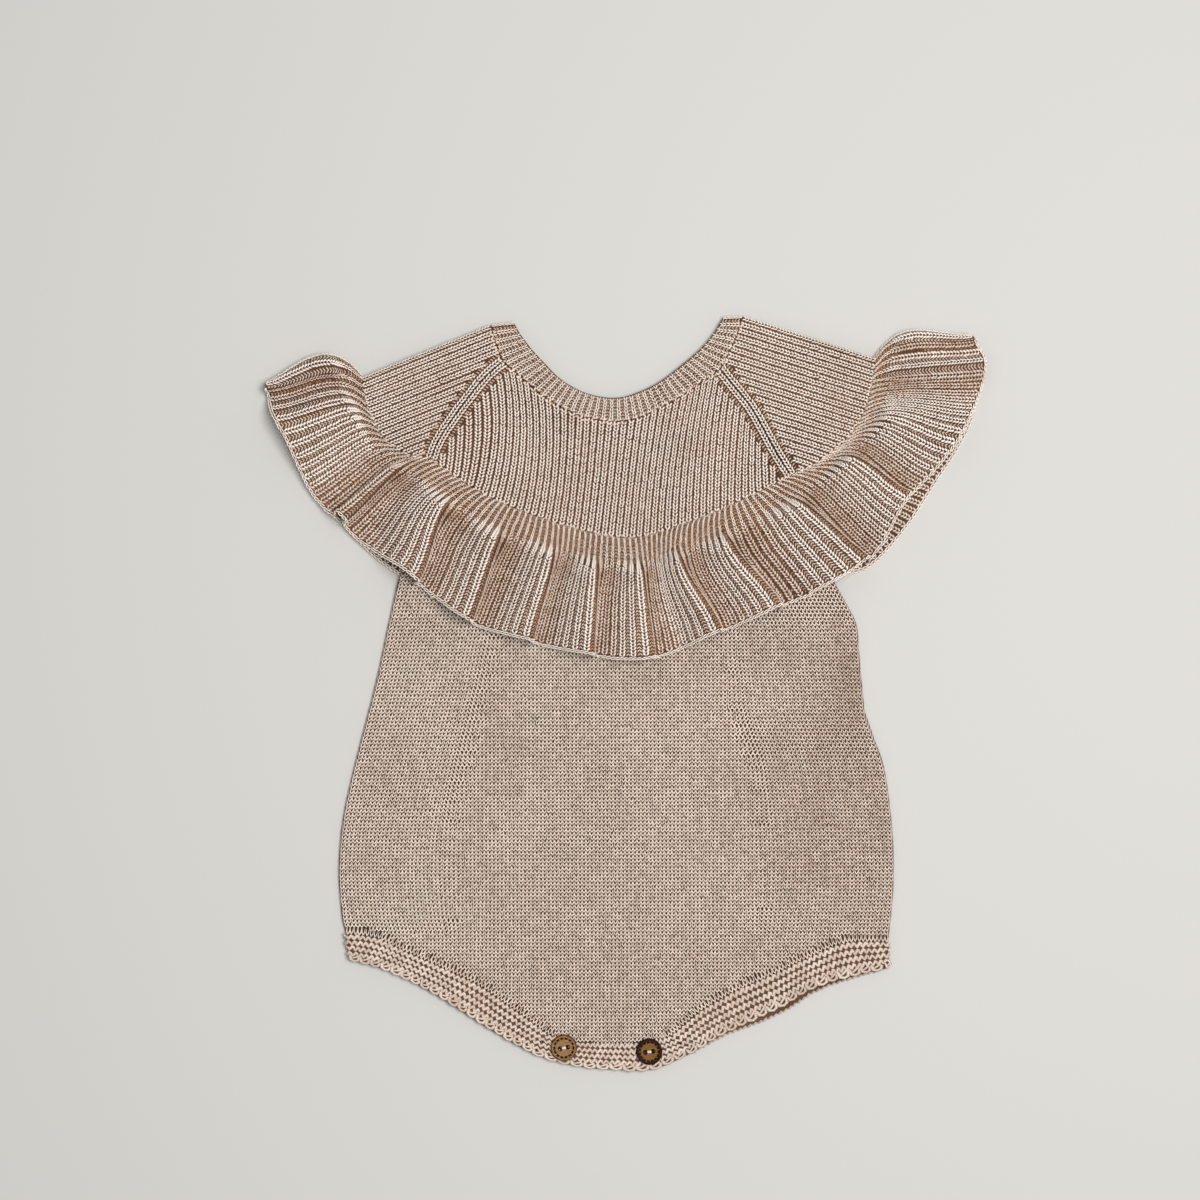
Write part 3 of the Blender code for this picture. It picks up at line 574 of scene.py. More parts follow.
# lets a surface run on round its folds: past the first or the last rib it turns under
def foldedSurface(surface, ribs, away, reach, width=plainFold):
    def folded(u, v):
        u, v = paired(u, v)
        flat = surface(np.clip(u, 0, ribs), v)
        for key, over in (("start", np.maximum(-u, 0)), ("end", np.maximum(u - ribs, 0))):
            if key in away:
                angle = math.pi * np.minimum(over / reach, 1)
                out = unit(mix(*away[key], v[..., None]))
                flat = raised(flat[..., :2] + out * (width(key, v) * np.sin(angle))[..., None],
                              flat[..., 2] * (1 + np.cos(angle)) / 2)
        return flat
    return folded


# materials

def newMaterial(name, roughness, sheen):
    material = bpy.data.materials.new(name)
    material.use_nodes = True
    shader = material.node_tree.nodes["Principled BSDF"]
    shader.inputs["Roughness"].default_value = roughness
    shader.inputs["Specular IOR Level"].default_value = 0.25
    shader.inputs["Sheen Weight"].default_value = sheen
    shader.inputs["Sheen Roughness"].default_value = 0.5
    return material, shader, nodeAdder(material.node_tree)


def noiseNode(add, place, scale, detail=2.0, roughness=0.5):
    return add("ShaderNodeTexNoise", {"Vector": place, "Scale": scale, "Detail": detail,
                                      "Roughness": roughness}).outputs["Fac"]


def rangeNode(add, value, low, high, toLow=0.0, toHigh=1.0, kind="LINEAR"):
    return add("ShaderNodeMapRange", {"Value": value, "From Min": low, "From Max": high,
                                      "To Min": toLow, "To Max": toHigh},
               interpolation_type=kind).outputs[0]


# from one colour to another, each of them a colour or a node's output
def blendNode(add, share, first, last):
    ends = {key: (*colour, 1) if isinstance(colour, tuple) else colour
            for key, colour in ((6, first), (7, last))}
    return add("ShaderNodeMix", {"Factor": share, **ends}, data_type="RGBA").outputs[2]


# gives a material its colour and its bumps, which are depth metres high
def finishMaterial(made, colour, height, strength, depth):
    material, shader, add = made
    bump = add("ShaderNodeBump", {"Strength": strength, "Distance": depth, "Height": height})
    material.node_tree.links.new(colour, shader.inputs["Base Color"])
    material.node_tree.links.new(bump.outputs["Normal"], shader.inputs["Normal"])
    return material


# cotton yarn: tone of each stitch, which carries painted shade and painted light, a little
# melange, twist and fibres
def yarnMaterial(name, light, dark, fibre=0.10):
    made = newMaterial(name, 0.9, 0.06)
    add = made[2]
    place = add("ShaderNodeTexCoord").outputs["Object"]
    tone = add("ShaderNodeAttribute", attribute_name="tone").outputs["Fac"]
    fine = noiseNode(add, place, 1700.0, 3.0, 0.7)
    spread = rangeNode(add, noiseNode(add, place, 22.0), 0.3, 0.7, -0.07, 0.07)
    fleck = rangeNode(add, fine, 0.25, 0.75, -fibre, fibre)
    share = mathsNode(add, "ADD", mathsNode(add, "ADD", spread, fleck), tone, use_clamp=True)
    return finishMaterial(made, blendNode(add, share, dark, light), fine, 0.35, 0.0002)


# painted shade: the cloth between and under the stitches is coloured dark for the shade that falls
# in the gaps
def groundMaterial(name, paintedShade, soft):
    made = newMaterial(name, 0.95, 0.05)
    add = made[2]
    place = add("ShaderNodeTexCoord").outputs["Object"]
    fine = noiseNode(add, place, 1400.0, 3.0)
    both = mathsNode(add, "MULTIPLY", noiseNode(add, place, 30.0, 3.0), fine)
    inside = blendNode(add, rangeNode(add, both, 0.12, 0.4), paintedShade, soft)
    # bare edges near the floor show the yarn itself
    height = add("ShaderNodeSeparateXYZ", {"Vector": place}).outputs["Z"]
    low = rangeNode(add, height, 1.7 * mm, 1.2 * mm, kind="SMOOTHSTEP")
    streaks = blendNode(add, fine, colours["edgeDark"], colours["edgeLight"])
    return finishMaterial(made, blendNode(add, low, inside, streaks), fine, 0.5, 0.0003)


# knit drawn on a plain piece by its place: columns along y, rows of slanted legs, with painted
# shade between the strands
def knitMaterial(name, light, dark, column, row):
    made = newMaterial(name, 0.9, 0.1)
    add = made[2]
    place = add("ShaderNodeTexCoord").outputs["Object"]
    split = add("ShaderNodeSeparateXYZ", {"Vector": place})

    def maths(operation, *values):
        return mathsNode(add, operation, *values)

    across = maths("FRACT", maths("MULTIPLY", split.outputs["X"], 1 / (column * mm)))
    leg = maths("ABSOLUTE", maths("SUBTRACT", across, 0.5))
    slanted = maths("ADD", maths("MULTIPLY", split.outputs["Y"], 1 / (row * mm)),
                    maths("MULTIPLY", leg, -1.4))
    along = maths("ABSOLUTE", maths("SUBTRACT", maths("FRACT", slanted), 0.5))
    strand = maths("SINE", maths("MULTIPLY", leg, 2 * math.pi))
    height = maths("MULTIPLY", strand, maths("SUBTRACT", 1.0, along))
    uneven = rangeNode(add, noiseNode(add, place, 1500.0, 3.0), 0.0, 1.0, 0.8, 1.1)
    # painted shade: the low parts between the strands are coloured darker, the high ones lighter
    toned = maths("MULTIPLY", rangeNode(add, height, 0.15, 0.8), uneven)
    return finishMaterial(made, blendNode(add, toned, dark, light), toned, 0.8, 0.0006)


# one cotton yarn in copies: the ruffle's is lighter, painted light, and the garter's darker,
# painted shade; the dark ends also carry painted shade through each stitch's tone
colours = {
    "plainLight": (0.93, 0.80, 0.70), "plainDark": (0.40, 0.27, 0.19),
    "ribLight": (0.93, 0.825, 0.74), "ribDark": (0.50, 0.29, 0.165),
    "garterLight": (0.86, 0.745, 0.66), "garterDark": (0.40, 0.26, 0.18),
    "ruffleLight": (0.99, 0.89, 0.81), "ruffleDark": (0.48, 0.265, 0.145),
    # painted shade colours for the cloth in the gaps between stitches
    "paintedShade": (0.05, 0.022, 0.012), "paintedShadeSoft": (0.14, 0.070, 0.040),
    "rufflePaintedShade": (0.055, 0.024, 0.012), "rufflePaintedShadeSoft": (0.15, 0.072, 0.038),
    "edgeLight": (0.56, 0.42, 0.33), "edgeDark": (0.22, 0.13, 0.085),
    "bodyPaintedShade": (0.038, 0.021, 0.013), "bodyPaintedShadeSoft": (0.082, 0.048, 0.032),
    "bandPaintedShade": (0.08, 0.040, 0.024), "bandPaintedShadeSoft": (0.17, 0.095, 0.062),
    "backLight": (0.62, 0.50, 0.42), "backDark": (0.12, 0.07, 0.045),
}
plainYarn = yarnMaterial("plain_yarn", colours["plainLight"], colours["plainDark"])
ribYarn = yarnMaterial("rib_yarn", colours["ribLight"], colours["ribDark"])
ruffleYarn = yarnMaterial("ruffle_yarn", colours["ruffleLight"], colours["ruffleDark"])
garterYarn = yarnMaterial("garter_yarn", colours["garterLight"], colours["garterDark"])
# the ground materials carry painted shade: dark cloth where the gaps between stitches lie in shade
ribGround = groundMaterial("rib_ground", colours["paintedShade"], colours["paintedShadeSoft"])
ruffleGround = groundMaterial("ruffle_ground", colours["rufflePaintedShade"],
                              colours["rufflePaintedShadeSoft"])
plainGround = groundMaterial("plain_ground", colours["bodyPaintedShade"], colours["bodyPaintedShadeSoft"])
bandGround = groundMaterial("band_ground", colours["bandPaintedShade"], colours["bandPaintedShadeSoft"])
print("materials ready")


# body

body = {"across": 110, "down": 100, "column": 2.03, "row": 1.98, "tone": 0.90, "sunk": 1.15,
        "stitchSunk": 0.42, "slack": 0.35, "fringe": 6.5, "strand": 3.6,
        # at the sides the columns follow the side, over these widths, and ease into the middle
        "outerLeft": 51.6, "outerRight": 61.0, "sideInset": 0.6, "eased": 5,
        # y of the first and the last row, and how far the stitches go on under the ruffle's
        # hem and end below the yoke
        "rows": (-182.0, 100.0), "underHem": 9.0, "underYoke": 12.0,
        # x between the three parts that the stitches are kept in
        "split": (-50.0, 40.0),
        # the crotch band's seam is level: how far from its ends it bends, and how low stitches run
        "bend": 4.0, "lowStart": -0.6, "start": 3.4,
        # single columns a little darker or lighter for a few rows, painted shade and painted light
        # for columns that lie a little deeper or higher, and how far columns stray sideways
        "streak": 0.06, "streakRows": 11.0, "shift": 0.07,
        # painted soft shades, at the right hip, beside both buttons, down the right side and
        # across the lower middle: x, y, how wide, how tall, how deep
        "shades": [(120.0, 10.0, 13.0, 30.0, 0.22), (34.0, -175.0, 10.0, 5.0, 0.85),
                   (-45.0, -176.0, 6.0, 6.0, 0.50), (110.0, -60.0, 45.0, 80.0, 0.24),
                   (0.0, -150.0, 90.0, 30.0, 0.10)],
        # single light stitches where the panel was shaped
        "markTone": 1.25, "markWide": 1.1,
        "marksLeft": [(-77.0, 9.4), (-80.6, -4.7), (-84.8, -18.2), (-88.9, -33.3),
                      (-91.5, -47.3), (-94.6, -61.4)],
        "marksRight": [(62.4, 6.8), (65.5, -9.4), (68.1, -23.4), (71.2, -37.4),
                       (73.8, -52.0), (76.4, -66.6)]}


def bodyTopHeight(x, y):
    share = np.clip(sideDistance(x, y) / cloth["sideRound"], 0, 1)
    rounded = np.maximum(np.sqrt(1 - (1 - share) ** 2), cloth["sideThin"])
    slack = (body["slack"] * softNoise(x, y, 70.0, 3)
             * smoothStep(sideDistance(x, y), 2.0, 25.0))
    return frontUnder(x, y) + cloth["wall"] * rounded + slack


def bodyShell():
    bottom = moveLine(bodyBottom, halfGap)
    inset = cloth["topInset"]
    left = np.vstack([[p for p in sideLeft if p[1] < sideLeft[0][1] - inset], bottom[:1]])
    right = np.vstack([[p for p in sideRight if p[1] < sideRight[0][1] - inset], bottom[-1:]])
    seam = moveLine(yokeSeam, -inset)
    keep = (seam[:, 0] > left[0][0] + 3) & (seam[:, 0] < right[0][0] - 3)
    top = np.vstack([left[:1], seam[keep], right[:1]])
    t = np.linspace(0, 1, body["down"])
    level = np.linspace(0, 1, body["across"])
    ends = np.stack([mix(bottom[0][0], bottom[-1][0], level),
                     yAt(bottom, mix(bottom[0][0], bottom[-1][0], level))], -1)
    starts = lineAt(top, level)
    sides = [lineAt(line, t)[None] for line in (left, right)]
    u, v = level[:, None, None], t[None, :, None]
    plan = (mix(starts[:, None], ends[:, None], v) + mix(sides[0], sides[1], u)
            - mix(mix(top[0], top[-1], u), mix(bottom[0], bottom[-1], u), v))
    x, y = plan[..., 0], plan[..., 1]
    outer = np.dstack([x, y, bodyTopHeight(x, y) - body["sunk"]])
    inner = np.dstack([x, y, np.minimum(frontUnder(x, y), outer[..., 2] - 0.1)])
    return wallObject("body_front_cloth", outer, inner, plainGround)


# uneven from column to column, and slowly along each: a scattered phase for every column
def columnNoise(x, y):
    column = np.round(x / body["column"])
    phase = np.modf(np.abs(np.sin(column * 12.9898) * 43758.5453))[0] * 2 * math.pi
    return np.sin(phase + y / body["streakRows"] * (1.5 + np.sin(column * 3.7)))


def atCrotch(x, inset):
    return (x > crotchUpper[0][0] + inset) & (x < crotchUpper[-1][0] - inset)


# places of the plain stitches: x, y, slope of the column and how wide the stitch is
def bodyColumns():
    rows = np.arange(*body["rows"], body["row"])
    column, inset = body["column"], body["sideInset"]
    places = []
    for y in rows:
        left, right = xAt(sideLeft, y), xAt(sideRight, y)
        slope = [(xAt(side, y - 2) - xAt(side, y + 2)) / 4 for side in (sideLeft, sideRight)]
        for k in range(int(body["outerLeft"] / column)):
            x = left + inset + (k + 0.5) * column
            places.append((x, y, slope[0], 1.0))
        edge = left + inset + int(body["outerLeft"] / column) * column
        far = right - inset - int(body["outerRight"] / column) * column
        first, last = math.ceil(edge / column), math.floor(far / column)
        inner = (np.arange(first, last) + 0.5) * column
        wide = np.ones(len(inner))
        eased = np.arange(body["eased"])
        for spare, sign, ids in ((first * column - edge, -1, eased),
                                 (far - last * column, 1, -1 - eased)):
            share = spare / body["eased"]
            inner[ids] += sign * share * (body["eased"] - eased - 0.5)
            wide[ids] += share / column
        places += list(zip(inner, np.full(len(inner), y), np.zeros(len(inner)), wide))
        for k in range(int(body["outerRight"] / column)):
            x = right - inset - (k + 0.5) * column
            places.append((x, y, slope[1], 1.0))
    places = np.array(places)
    places[:, 0] += body["shift"] * columnNoise(places[:, 0], places[:, 1] + 7.0)
    x, y = places[:, 0], places[:, 1]
    frontHem = np.interp(x, ruffleHem[:, 0], ruffleHem[:, 1])
    start = np.where(atCrotch(x, body["bend"]), body["lowStart"], body["start"])
    keep = ((y > yAt(bodyBottom, x) + start) & (y < frontHem + body["underHem"])
            & (y < yAt(yokeSeam, x) - body["underYoke"]))
    return places[keep]


def heightFrame(height, x, y, down):
    step = 0.5
    slopeX = (height(x + step, y) - height(x - step, y)) / (2 * step)
    slopeY = (height(x, y + step) - height(x, y - step)) / (2 * step)
    facing = unit(np.stack([-slopeX, -slopeY, np.ones_like(x)], -1))
    upward = -unit(np.stack([down[:, 0], down[:, 1],
                             slopeX * down[:, 0] + slopeY * down[:, 1]], -1))
    return upward, facing


# long strands where the leg and crotch bands are picked up from the body's lower edge
def edgeStrands():
    length = lineLengths(bodyBottom)[-1]
    count = int(length / body["column"])
    share = (np.arange(count) + 0.5) / count
    edge, ahead = lineAt(bodyBottom, share), lineAhead(bodyBottom, share)
    inward = np.stack([-ahead[:, 1], ahead[:, 0]], -1)
    slanted = ~atCrotch(edge[:, 0], body["bend"])
    inward = inward[slanted]
    plan = edge[slanted] + inward * 1.3
    upward, facing = heightFrame(bodyTopHeight, plan[:, 0], plan[:, 1], -inward)
    places = np.column_stack([plan, bodyTopHeight(plan[:, 0], plan[:, 1]) - 0.25])
    return layStitches("body_edge_strands", plainStitch, plainYarn, places, upward, facing,
                       np.array([body["column"], body["strand"], 1.3]), 0.62, 0.12, 0.2, 13)


def makeBody():
    shell = bodyShell()
    places = bodyColumns()
    x, y, slope = places[:, 0], places[:, 1], places[:, 2]
    down = unit(np.stack([slope, -np.ones_like(x)], -1))
    fromEdge = y - yAt(bodyBottom, x)
    edgeSlope = (yAt(bodyBottom, x + 2) - yAt(bodyBottom, x - 2)) / 4
    across = unit(np.stack([edgeSlope, -np.ones_like(x)], -1))
    bend = (1 - smoothStep(fromEdge, 1.0, body["fringe"])) * np.where(atCrotch(x, 0), 0.0, 1.0)
    down = unit(mix(down, across, bend[:, None]))
    upward, facing = heightFrame(bodyTopHeight, x, y, down)
    uneven = columnNoise(x, y)
    # painted shade and painted light: single columns darker or lighter for a few rows
    shade = (body["tone"] + 0.08 * softNoise(x, y, 45.0, 7) - 0.12 * bend
             + body["streak"] * uneven * np.where(uneven < 0, 1, 0.3))
    # painted shade: soft darker patches taken off the stitches' tone
    for a, b, wideA, tallB, paintedShade in body["shades"]:
        shade -= paintedShade * np.exp(-((x - a) / wideA) ** 2 - ((y - b) / tallB) ** 2)
    for a, b in body["marksLeft"] + body["marksRight"]:
        shade = np.where(np.hypot(x - a, (y - b) * 0.5) < body["markWide"], body["markTone"],
                         shade)
    middle = np.stack([x, y, bodyTopHeight(x, y) - body["stitchSunk"]], -1)
    size = stitchSizes(body["column"] * places[:, 3], body["row"], 1.0)
    first, second = body["split"]
    parts = [layStitches("body_stitches_" + name, plainStitch, plainYarn, middle[keep],
                         upward[keep], facing[keep], size[keep], shade[keep], 0.06, 0.16, seed)
             for name, keep, seed in (("left", x < first, 11),
                                      ("middle", (x >= first) & (x < second), 12),
                                      ("right", x >= second, 14))]
    return shell, parts + [edgeStrands()]


# yoke and shoulder caps

yoke = {"ribs": 51, "rows": 28, "columnShare": 0.86, "fromRaglan": 5.0, "rise": 0.35,
        # how tall a stitch is, how far it stands off the cloth, and its tone
        "tall": 1.5, "lift": 0.12, "tone": 0.92, "sunk": 0.25,
        # x at the ruffle seam, slope of the rib, how far its middle bows to the right
        "ribPaths": [(-100.0, 0.05, 0.0), (-74.4, 0.05, 4.2), (-65.0, 0.04, 4.6),
                     (-45.0, 0.06, 2.6), (-29.0, 0.10, 0.8), (-8.0, 0.115, 0.0),
                     (24.0, 0.13, -1.8), (42.0, 0.10, -1.8), (58.0, 0.07, -1.0),
                     (73.0, -0.01, -1.0), (86.0, -0.06, 0.0)]}
caps = {"left": {"ribs": 15, "seed": 22}, "right": {"ribs": 20, "seed": 23}, "rows": 26,
        # how far past the first rib the column on the fold lies
        "foldColumn": 0.36}


# the yoke as points: u counts ribs from the left, v runs from the neck to the ruffle
def yokePlan(u, v):
    u, v = paired(u, v)
    x = mix(yokeSeam[0][0], yokeSeam[-1][0], u / yoke["ribs"])
    paths = np.array(yoke["ribPaths"])
    slope = np.interp(x, paths[:, 0], paths[:, 1])
    bow = np.interp(x, paths[:, 0], paths[:, 2])
    low = yAt(yokeSeam, x)
    topX = x
    for _ in range(6):
        topX = x + slope * (yAt(yokeTop, topX) - low)
    high = yAt(yokeTop, topX)
    tall = np.clip((high - low) / 60.0, 0, 1)
    up = 1 - v
    return np.stack([mix(x, topX, up) + bow * tall * 4 * up * v, mix(low, high, up)], -1)


def ribHeight(u, rise):
    return rise * np.sin(math.pi * (np.asarray(u) % 1.0)) ** 0.7


# u and v of a mesh that has a few columns in each rib
def ribGrid(ribs, rows, shares):
    columns = np.append((np.arange(ribs)[:, None] + np.array(shares)).ravel(), ribs)
    return np.meshgrid(columns, rows, indexing="ij")


# outer and inner points of a ribbed wall and the level that it lies on
def ribWall(surface, u, v, rise, sunk, under):
    outer = surface(u, v)
    inner = outer.copy()
    outer[..., 2] += ribHeight(u, rise) - sunk
    inner[..., 2] = under
    return outer, inner


# the columns of knit stitches on a ribbed piece, as far as the raglans
def ribColumns(name, surface, middles, raglans, softSeed, seed):
    us, vs = rowPlaces(surface, middles, cloth["row"])
    along, across, facing = surfaceFrame(surface, us, vs, 0.3)
    places = surface(us, vs)
    x, y = places[:, 0], places[:, 1]
    near = np.min([lineDistance(x, y, raglan) for raglan in raglans], axis=0)
    keep = near > yoke["fromRaglan"]
    # the stitch stands square to its column, so it takes the width across the column
    width = columnWidths(surface, us, vs, along, across) * yoke["columnShare"]
    size = stitchSizes(width, cloth["row"], yoke["tall"])
    places[:, 2] += yoke["lift"]
    shade = yoke["tone"] + 0.08 * softNoise(x, y, 30.0, softSeed)
    return layStitches(name, ribStitch, ribYarn, places[keep], -along[keep], facing[keep],
                       size[keep], shade[keep], 0.05, 0.12, seed)


def yokeSurface(u, v):
    return raised(yokePlan(u, v), upperUnder(v) + cloth["wall"])


# a cap as points: its ribs lie at even distances from the shoulder fold, parallel to it
def capSurface(side):
    first, last = capEdges[side]
    ribs = caps[side]["ribs"]
    fold = unit(last[-1] - first[-1])
    normal = np.array([-fold[1], fold[0]]) * (1 if side == "right" else -1)

    def onLine(line, share):
        level = (line - line[0]) @ normal
        level = np.maximum.accumulate(level + np.arange(len(level)) * 1e-6)
        return np.stack([np.interp(share * level[-1], level, line[:, k]) for k in (0, 1)], -1)

    def surface(u, v):
        u, v = paired(u, v)
        share = u / ribs if side == "right" else 1 - u / ribs
        plan = mix(onLine(first, share), onLine(last, share), v[..., None])
        return raised(plan, upperUnder(v) + cloth["wall"])
    return surface


# both edges of a cap, from the lower end of the raglan up to the shoulder fold
capEdges = {"left": (joinLines(raglanLeft[::-1], neckEndLeft[::-1]), capSeamLeft[::-1]),
            "right": (joinLines(raglanRight[::-1], neckEndRight[::-1]), capSeamRight[::-1])}


def makeYoke():
    u, v = ribGrid(yoke["ribs"], np.linspace(0, 1, yoke["rows"]), (0, 0.2, 0.5, 0.8))
    shell = wallObject("yoke_cloth", *ribWall(yokeSurface, u, v, yoke["rise"], yoke["sunk"],
                                              upperUnder(v)), ribGround)
    return shell, [ribColumns("yoke_stitches", yokeSurface, np.arange(yoke["ribs"]) + 0.5,
                              (raglanLeft, raglanRight), 5, 21)]


def makeCap(side):
    surface = capSurface(side)
    ribs = caps[side]["ribs"]
    rows = np.linspace(0, 1, caps["rows"])
    u, v = ribGrid(ribs, rows, (0, 0.2, 0.5, 0.8))
    front = ribWall(surface, u, v, yoke["rise"], yoke["sunk"], upperUnder(v))
    key = "start" if side == "left" else "end"
    away = {key: [endTangent(line) for line in capEdges[side]]}
    flat = np.linspace(0, 1, 12)[::1 if side == "left" else -1]
    back = flatBack(*(lineAt(line, flat) for line in capEdges[side]), rows)
    shell = wallObject("shoulder_cloth_" + side, *foldedWall(
        side, front, turnColumns(*front, key, away, rows, cloth["foldRound"]), back), ribGround)
    surface = foldedSurface(surface, ribs, away, 2.0, lambda key, v: cloth["foldRound"] + 0.2)
    extra = np.arange(-1, ribs) if side == "left" else np.arange(ribs + 1)
    middles = np.clip(extra + 0.5, -caps["foldColumn"], ribs + caps["foldColumn"])
    return shell, [ribColumns("shoulder_stitches_" + side, surface, middles,
                              (raglanLeft if side == "left" else raglanRight,), 6,
                              caps[side]["seed"])]


# name, shape, distance from the raglan, lift, size, tone and seed
raglanRows = [("raglan_stitches", ribStitch, 1.75, 0.40, (3.0, 1.80, 1.6), 0.90, 24),
              # the rungs' low tone is painted shade in the groove
              ("raglan_rungs", purlStitch, 4.30, 0.0, (1.7, 1.60, 0.9), 0.25, 25)]


# along each raglan: two columns of stitches, and a groove with rungs beyond each of them
def raglanStitches():
    parts = []
    for name, shape, offset, lift, size, shade, seed in raglanRows:
        places, upward, facing = [], [], []
        for raglan in (raglanLeft, raglanRight):
            for side in (-1, 1):
                line = moveLine(raglan, side * offset)
                count = int(lineLengths(line)[-1] / size[1])
                share = (np.arange(count) + 0.5) / count
                height = upperUnder(share) + cloth["wall"] + lift
                places.append(np.column_stack([lineAt(line, share), height]))
                upward.append(np.column_stack([-lineAhead(line, share, 0.01),
                                               np.zeros(count)]))
                facing.append(np.tile(upright, (count, 1)))
        places, upward, facing = (np.concatenate(x) for x in (places, upward, facing))
        parts.append(layStitches(name, shape, ribYarn, places, upward, facing,
                                 np.array(size), shade, 0.05, 0.12, seed))
    return parts


# neckband

seams = {"wander": 0.25, "tone": 0.45, "neckBump": (1.5, 2.0, 1.0),
         "ruffleBump": (1.7, 2.0, 0.9)}
neckband = {"ribs": 41, "rows": 12, "rise": 0.4, "sunk": 0.3, "backDrop": 1.0,
            # u of the columns, shape, share of a rib, how tall, how far out, tone, uneven, seed
            "stitches": (np.arange(-2, 43) + 0.5, ribStitch, 0.58, 1.7, 0.35, 0.95, 0.08, 31),
            # the rungs' low tone is painted shade in the troughs between ribs
            "rungs": (np.arange(-1, 43), troughStitch, 0.42, 0.9, -0.05, 0.40, 0.12, 32)}


def makeNeckband():
    ribs = neckband["ribs"]
    rows = np.linspace(0, 1, neckband["rows"])
    surface = betweenLines(neckOpening, neckEdge, ribs, lambda v: layer + cloth["wall"])
    u, v = ribGrid(ribs, rows, (0, 0.25, 0.5, 0.75))
    front = ribWall(surface, u, v, neckband["rise"], neckband["sunk"], layer)
    away = awayFrom(neckOpening, neckEdge)
    turns = [turnColumns(*front, key, away, rows, cloth["foldRound"])
             for key in ("end", "start")]
    flat = np.linspace(1, 0, 30)
    start, end = lineAt(neckOpening, flat), lineAt(neckEdge, flat)
    start = start + unit(end - start) * (neckband["backDrop"] * np.sin(math.pi * flat))[:, None]
    shell = wallObject("neckband_cloth", *joinWalls(front, turns[0], flatBack(start, end, rows),
                                                    turns[1]), ribGround, ring=True)
    surface = foldedSurface(surface, ribs, away, 2.0)
    parts = []
    for key in ("stitches", "rungs"):
        middles, shape, share, tall, lift, tone, uneven, seed = neckband[key]
        us, vs = rowPlaces(surface, middles, cloth["row"], 0.03, 0.95)
        along, across, facing = surfaceFrame(surface, us, vs, 0.3)
        wide = np.linalg.norm(surface(us + 0.5, vs) - surface(us - 0.5, vs), axis=1)
        parts.append(layStitches("neckband_" + key, shape, ribYarn,
                                 surface(us, vs) + facing * lift, -along, facing,
                                 stitchSizes(wide * share, cloth["row"], tall), tone, 0.05,
                                 uneven, seed))
    for key, move, seed in (("upper", 0.6, 33), ("lower", -1.0, 34)):
        parts.append(seamRow("neckband_seam_" + key, moveLine(neckEdge, move),
                             layer + cloth["wall"] + 0.2, 2 * ribs, seams["neckBump"], seed))
    return shell, parts


# a row of small bumps where two pieces are joined
def seamRow(name, line, height, count, bump, seed):
    share = (np.arange(count) + 0.5) / count
    ahead = lineAhead(line, share)
    stray = np.random.default_rng(seed).normal(0, seams["wander"], (count, 2))
    places = np.column_stack([lineAt(line, share) + stray, np.full(count, height)])
    upward = np.column_stack([-ahead[:, 1], ahead[:, 0], np.zeros(count)])
    return layStitches(name, purlStitch, ribYarn, places, upward, np.tile(upright, (count, 1)),
                       np.array(bump), seams["tone"], 0.2, 0.35, seed)


# ruffle

# one row for each fold: ribs up to the next, x and y of the crest at the hem, the x and y
# of its knee near the seam, its height, where the valley lies before the next crest, and
# how far the valley's hem sags outwards
ruffleFolds = [
    (4, -185.8, 158.1, -142.0, 166.9, 6.5, 0.24, 0.0),
    (11, -178.9, 139.4, -133.6, 148.2, 11.5, 0.68, 5.5),
    (10, -145.6, 92.0, -116.0, 117.0, 12.0, 0.24, 3.5),
    (8, -107.6, 60.3, -93.6, 97.8, 13.5, 0.17, 1.5),
    (8, -80.6, 39.0, -67.6, 77.0, 13.0, 0.17, 1.2),
    (8, -49.4, 28.6, -37.4, 74.4, 12.5, 0.17, 1.2),
    (7, -18.2, 21.3, -15.1, 69.2, 12.0, 0.18, 0.8),
    (8, 13.0, 19.2, 7.8, 66.6, 9.5, 0.42, 0.8),
    (8, 47.3, 32.8, 21.3, 73.3, 14.0, 0.20, 1.2),
    (9, 77.0, 45.2, 50.4, 80.6, 13.0, 0.14, 1.2),
    (10, 123.2, 69.2, 85.8, 100.4, 12.5, 0.16, 1.5),
    (9, 145.6, 101.9, 105.6, 123.8, 13.5, 0.20, 1.5),
    (9, 171.6, 131.6, 126.4, 144.6, 10.0, 0.62, 1.0),
    (3, 186.0, 168.0, 127.9, 162.8, 5.5, 0.50, 0.0),
    (0, 181.0, 183.6, 135.2, 177.3, 4.0, 0.0, 0.0),
]
ruffle = {"overhang": 0.07, "rootRamp": 5.5, "mostKnee": 7.0,
          # how the ribs share a fold between its steep face, its crest and its valley
          "steepWeight": 0.6, "crestWeight": 0.90, "valleyWeight": 1.40,
          # v where a fold starts and stands, and its knuckle: how high, where and how wide
          "foldStart": 0.17, "foldQuick": 0.31, "knuckle": 0.28, "knuckleAt": 0.33,
          "knuckleWide": 0.10,
          # the shoulder folds at both ends: how far they bulge, and ribs that go round them
          "bulge": {"start": 6.0, "end": 2.4}, "tipRibs": 3,
          # v over which the thin strands at the seam open into ribs, and how much they fill
          "rootZone": (0.18, 0.27), "rootShare": 0.44, "rise": 0.45, "sunk": 0.3,
          "column": 3.9, "columnShare": 0.88,
          # painted shade: how much darker the stitches are in a valley and in its pocket near the
          # seam, and how much of it the left tip is spared
          "sunkShade": 0.60, "pocketShade": 0.24, "tipDark": 0.76,
          # narrower than this a trough closes over its rungs
          "closed": (3.3, 3.9),
          # how far in over the body, and out from the middle, the back layer is knitted
          "backInside": 3, "backReach": 183,
          # how much of the seam each fold takes up
          "gathers": (6, 13, 10, 8, 8, 8, 7, 8, 8, 9, 10, 9, 9, 3),
          # shares of a fold between which its painted shade sets in past the crest and fades again
          "darkens": (0.0, 0.06), "lightens": (0.20, 0.62),
          # folds whose steep side rolls out past the hem, and how far
          "peeks": {3: 1.8, 9: 1.6, 10: 1.4}}
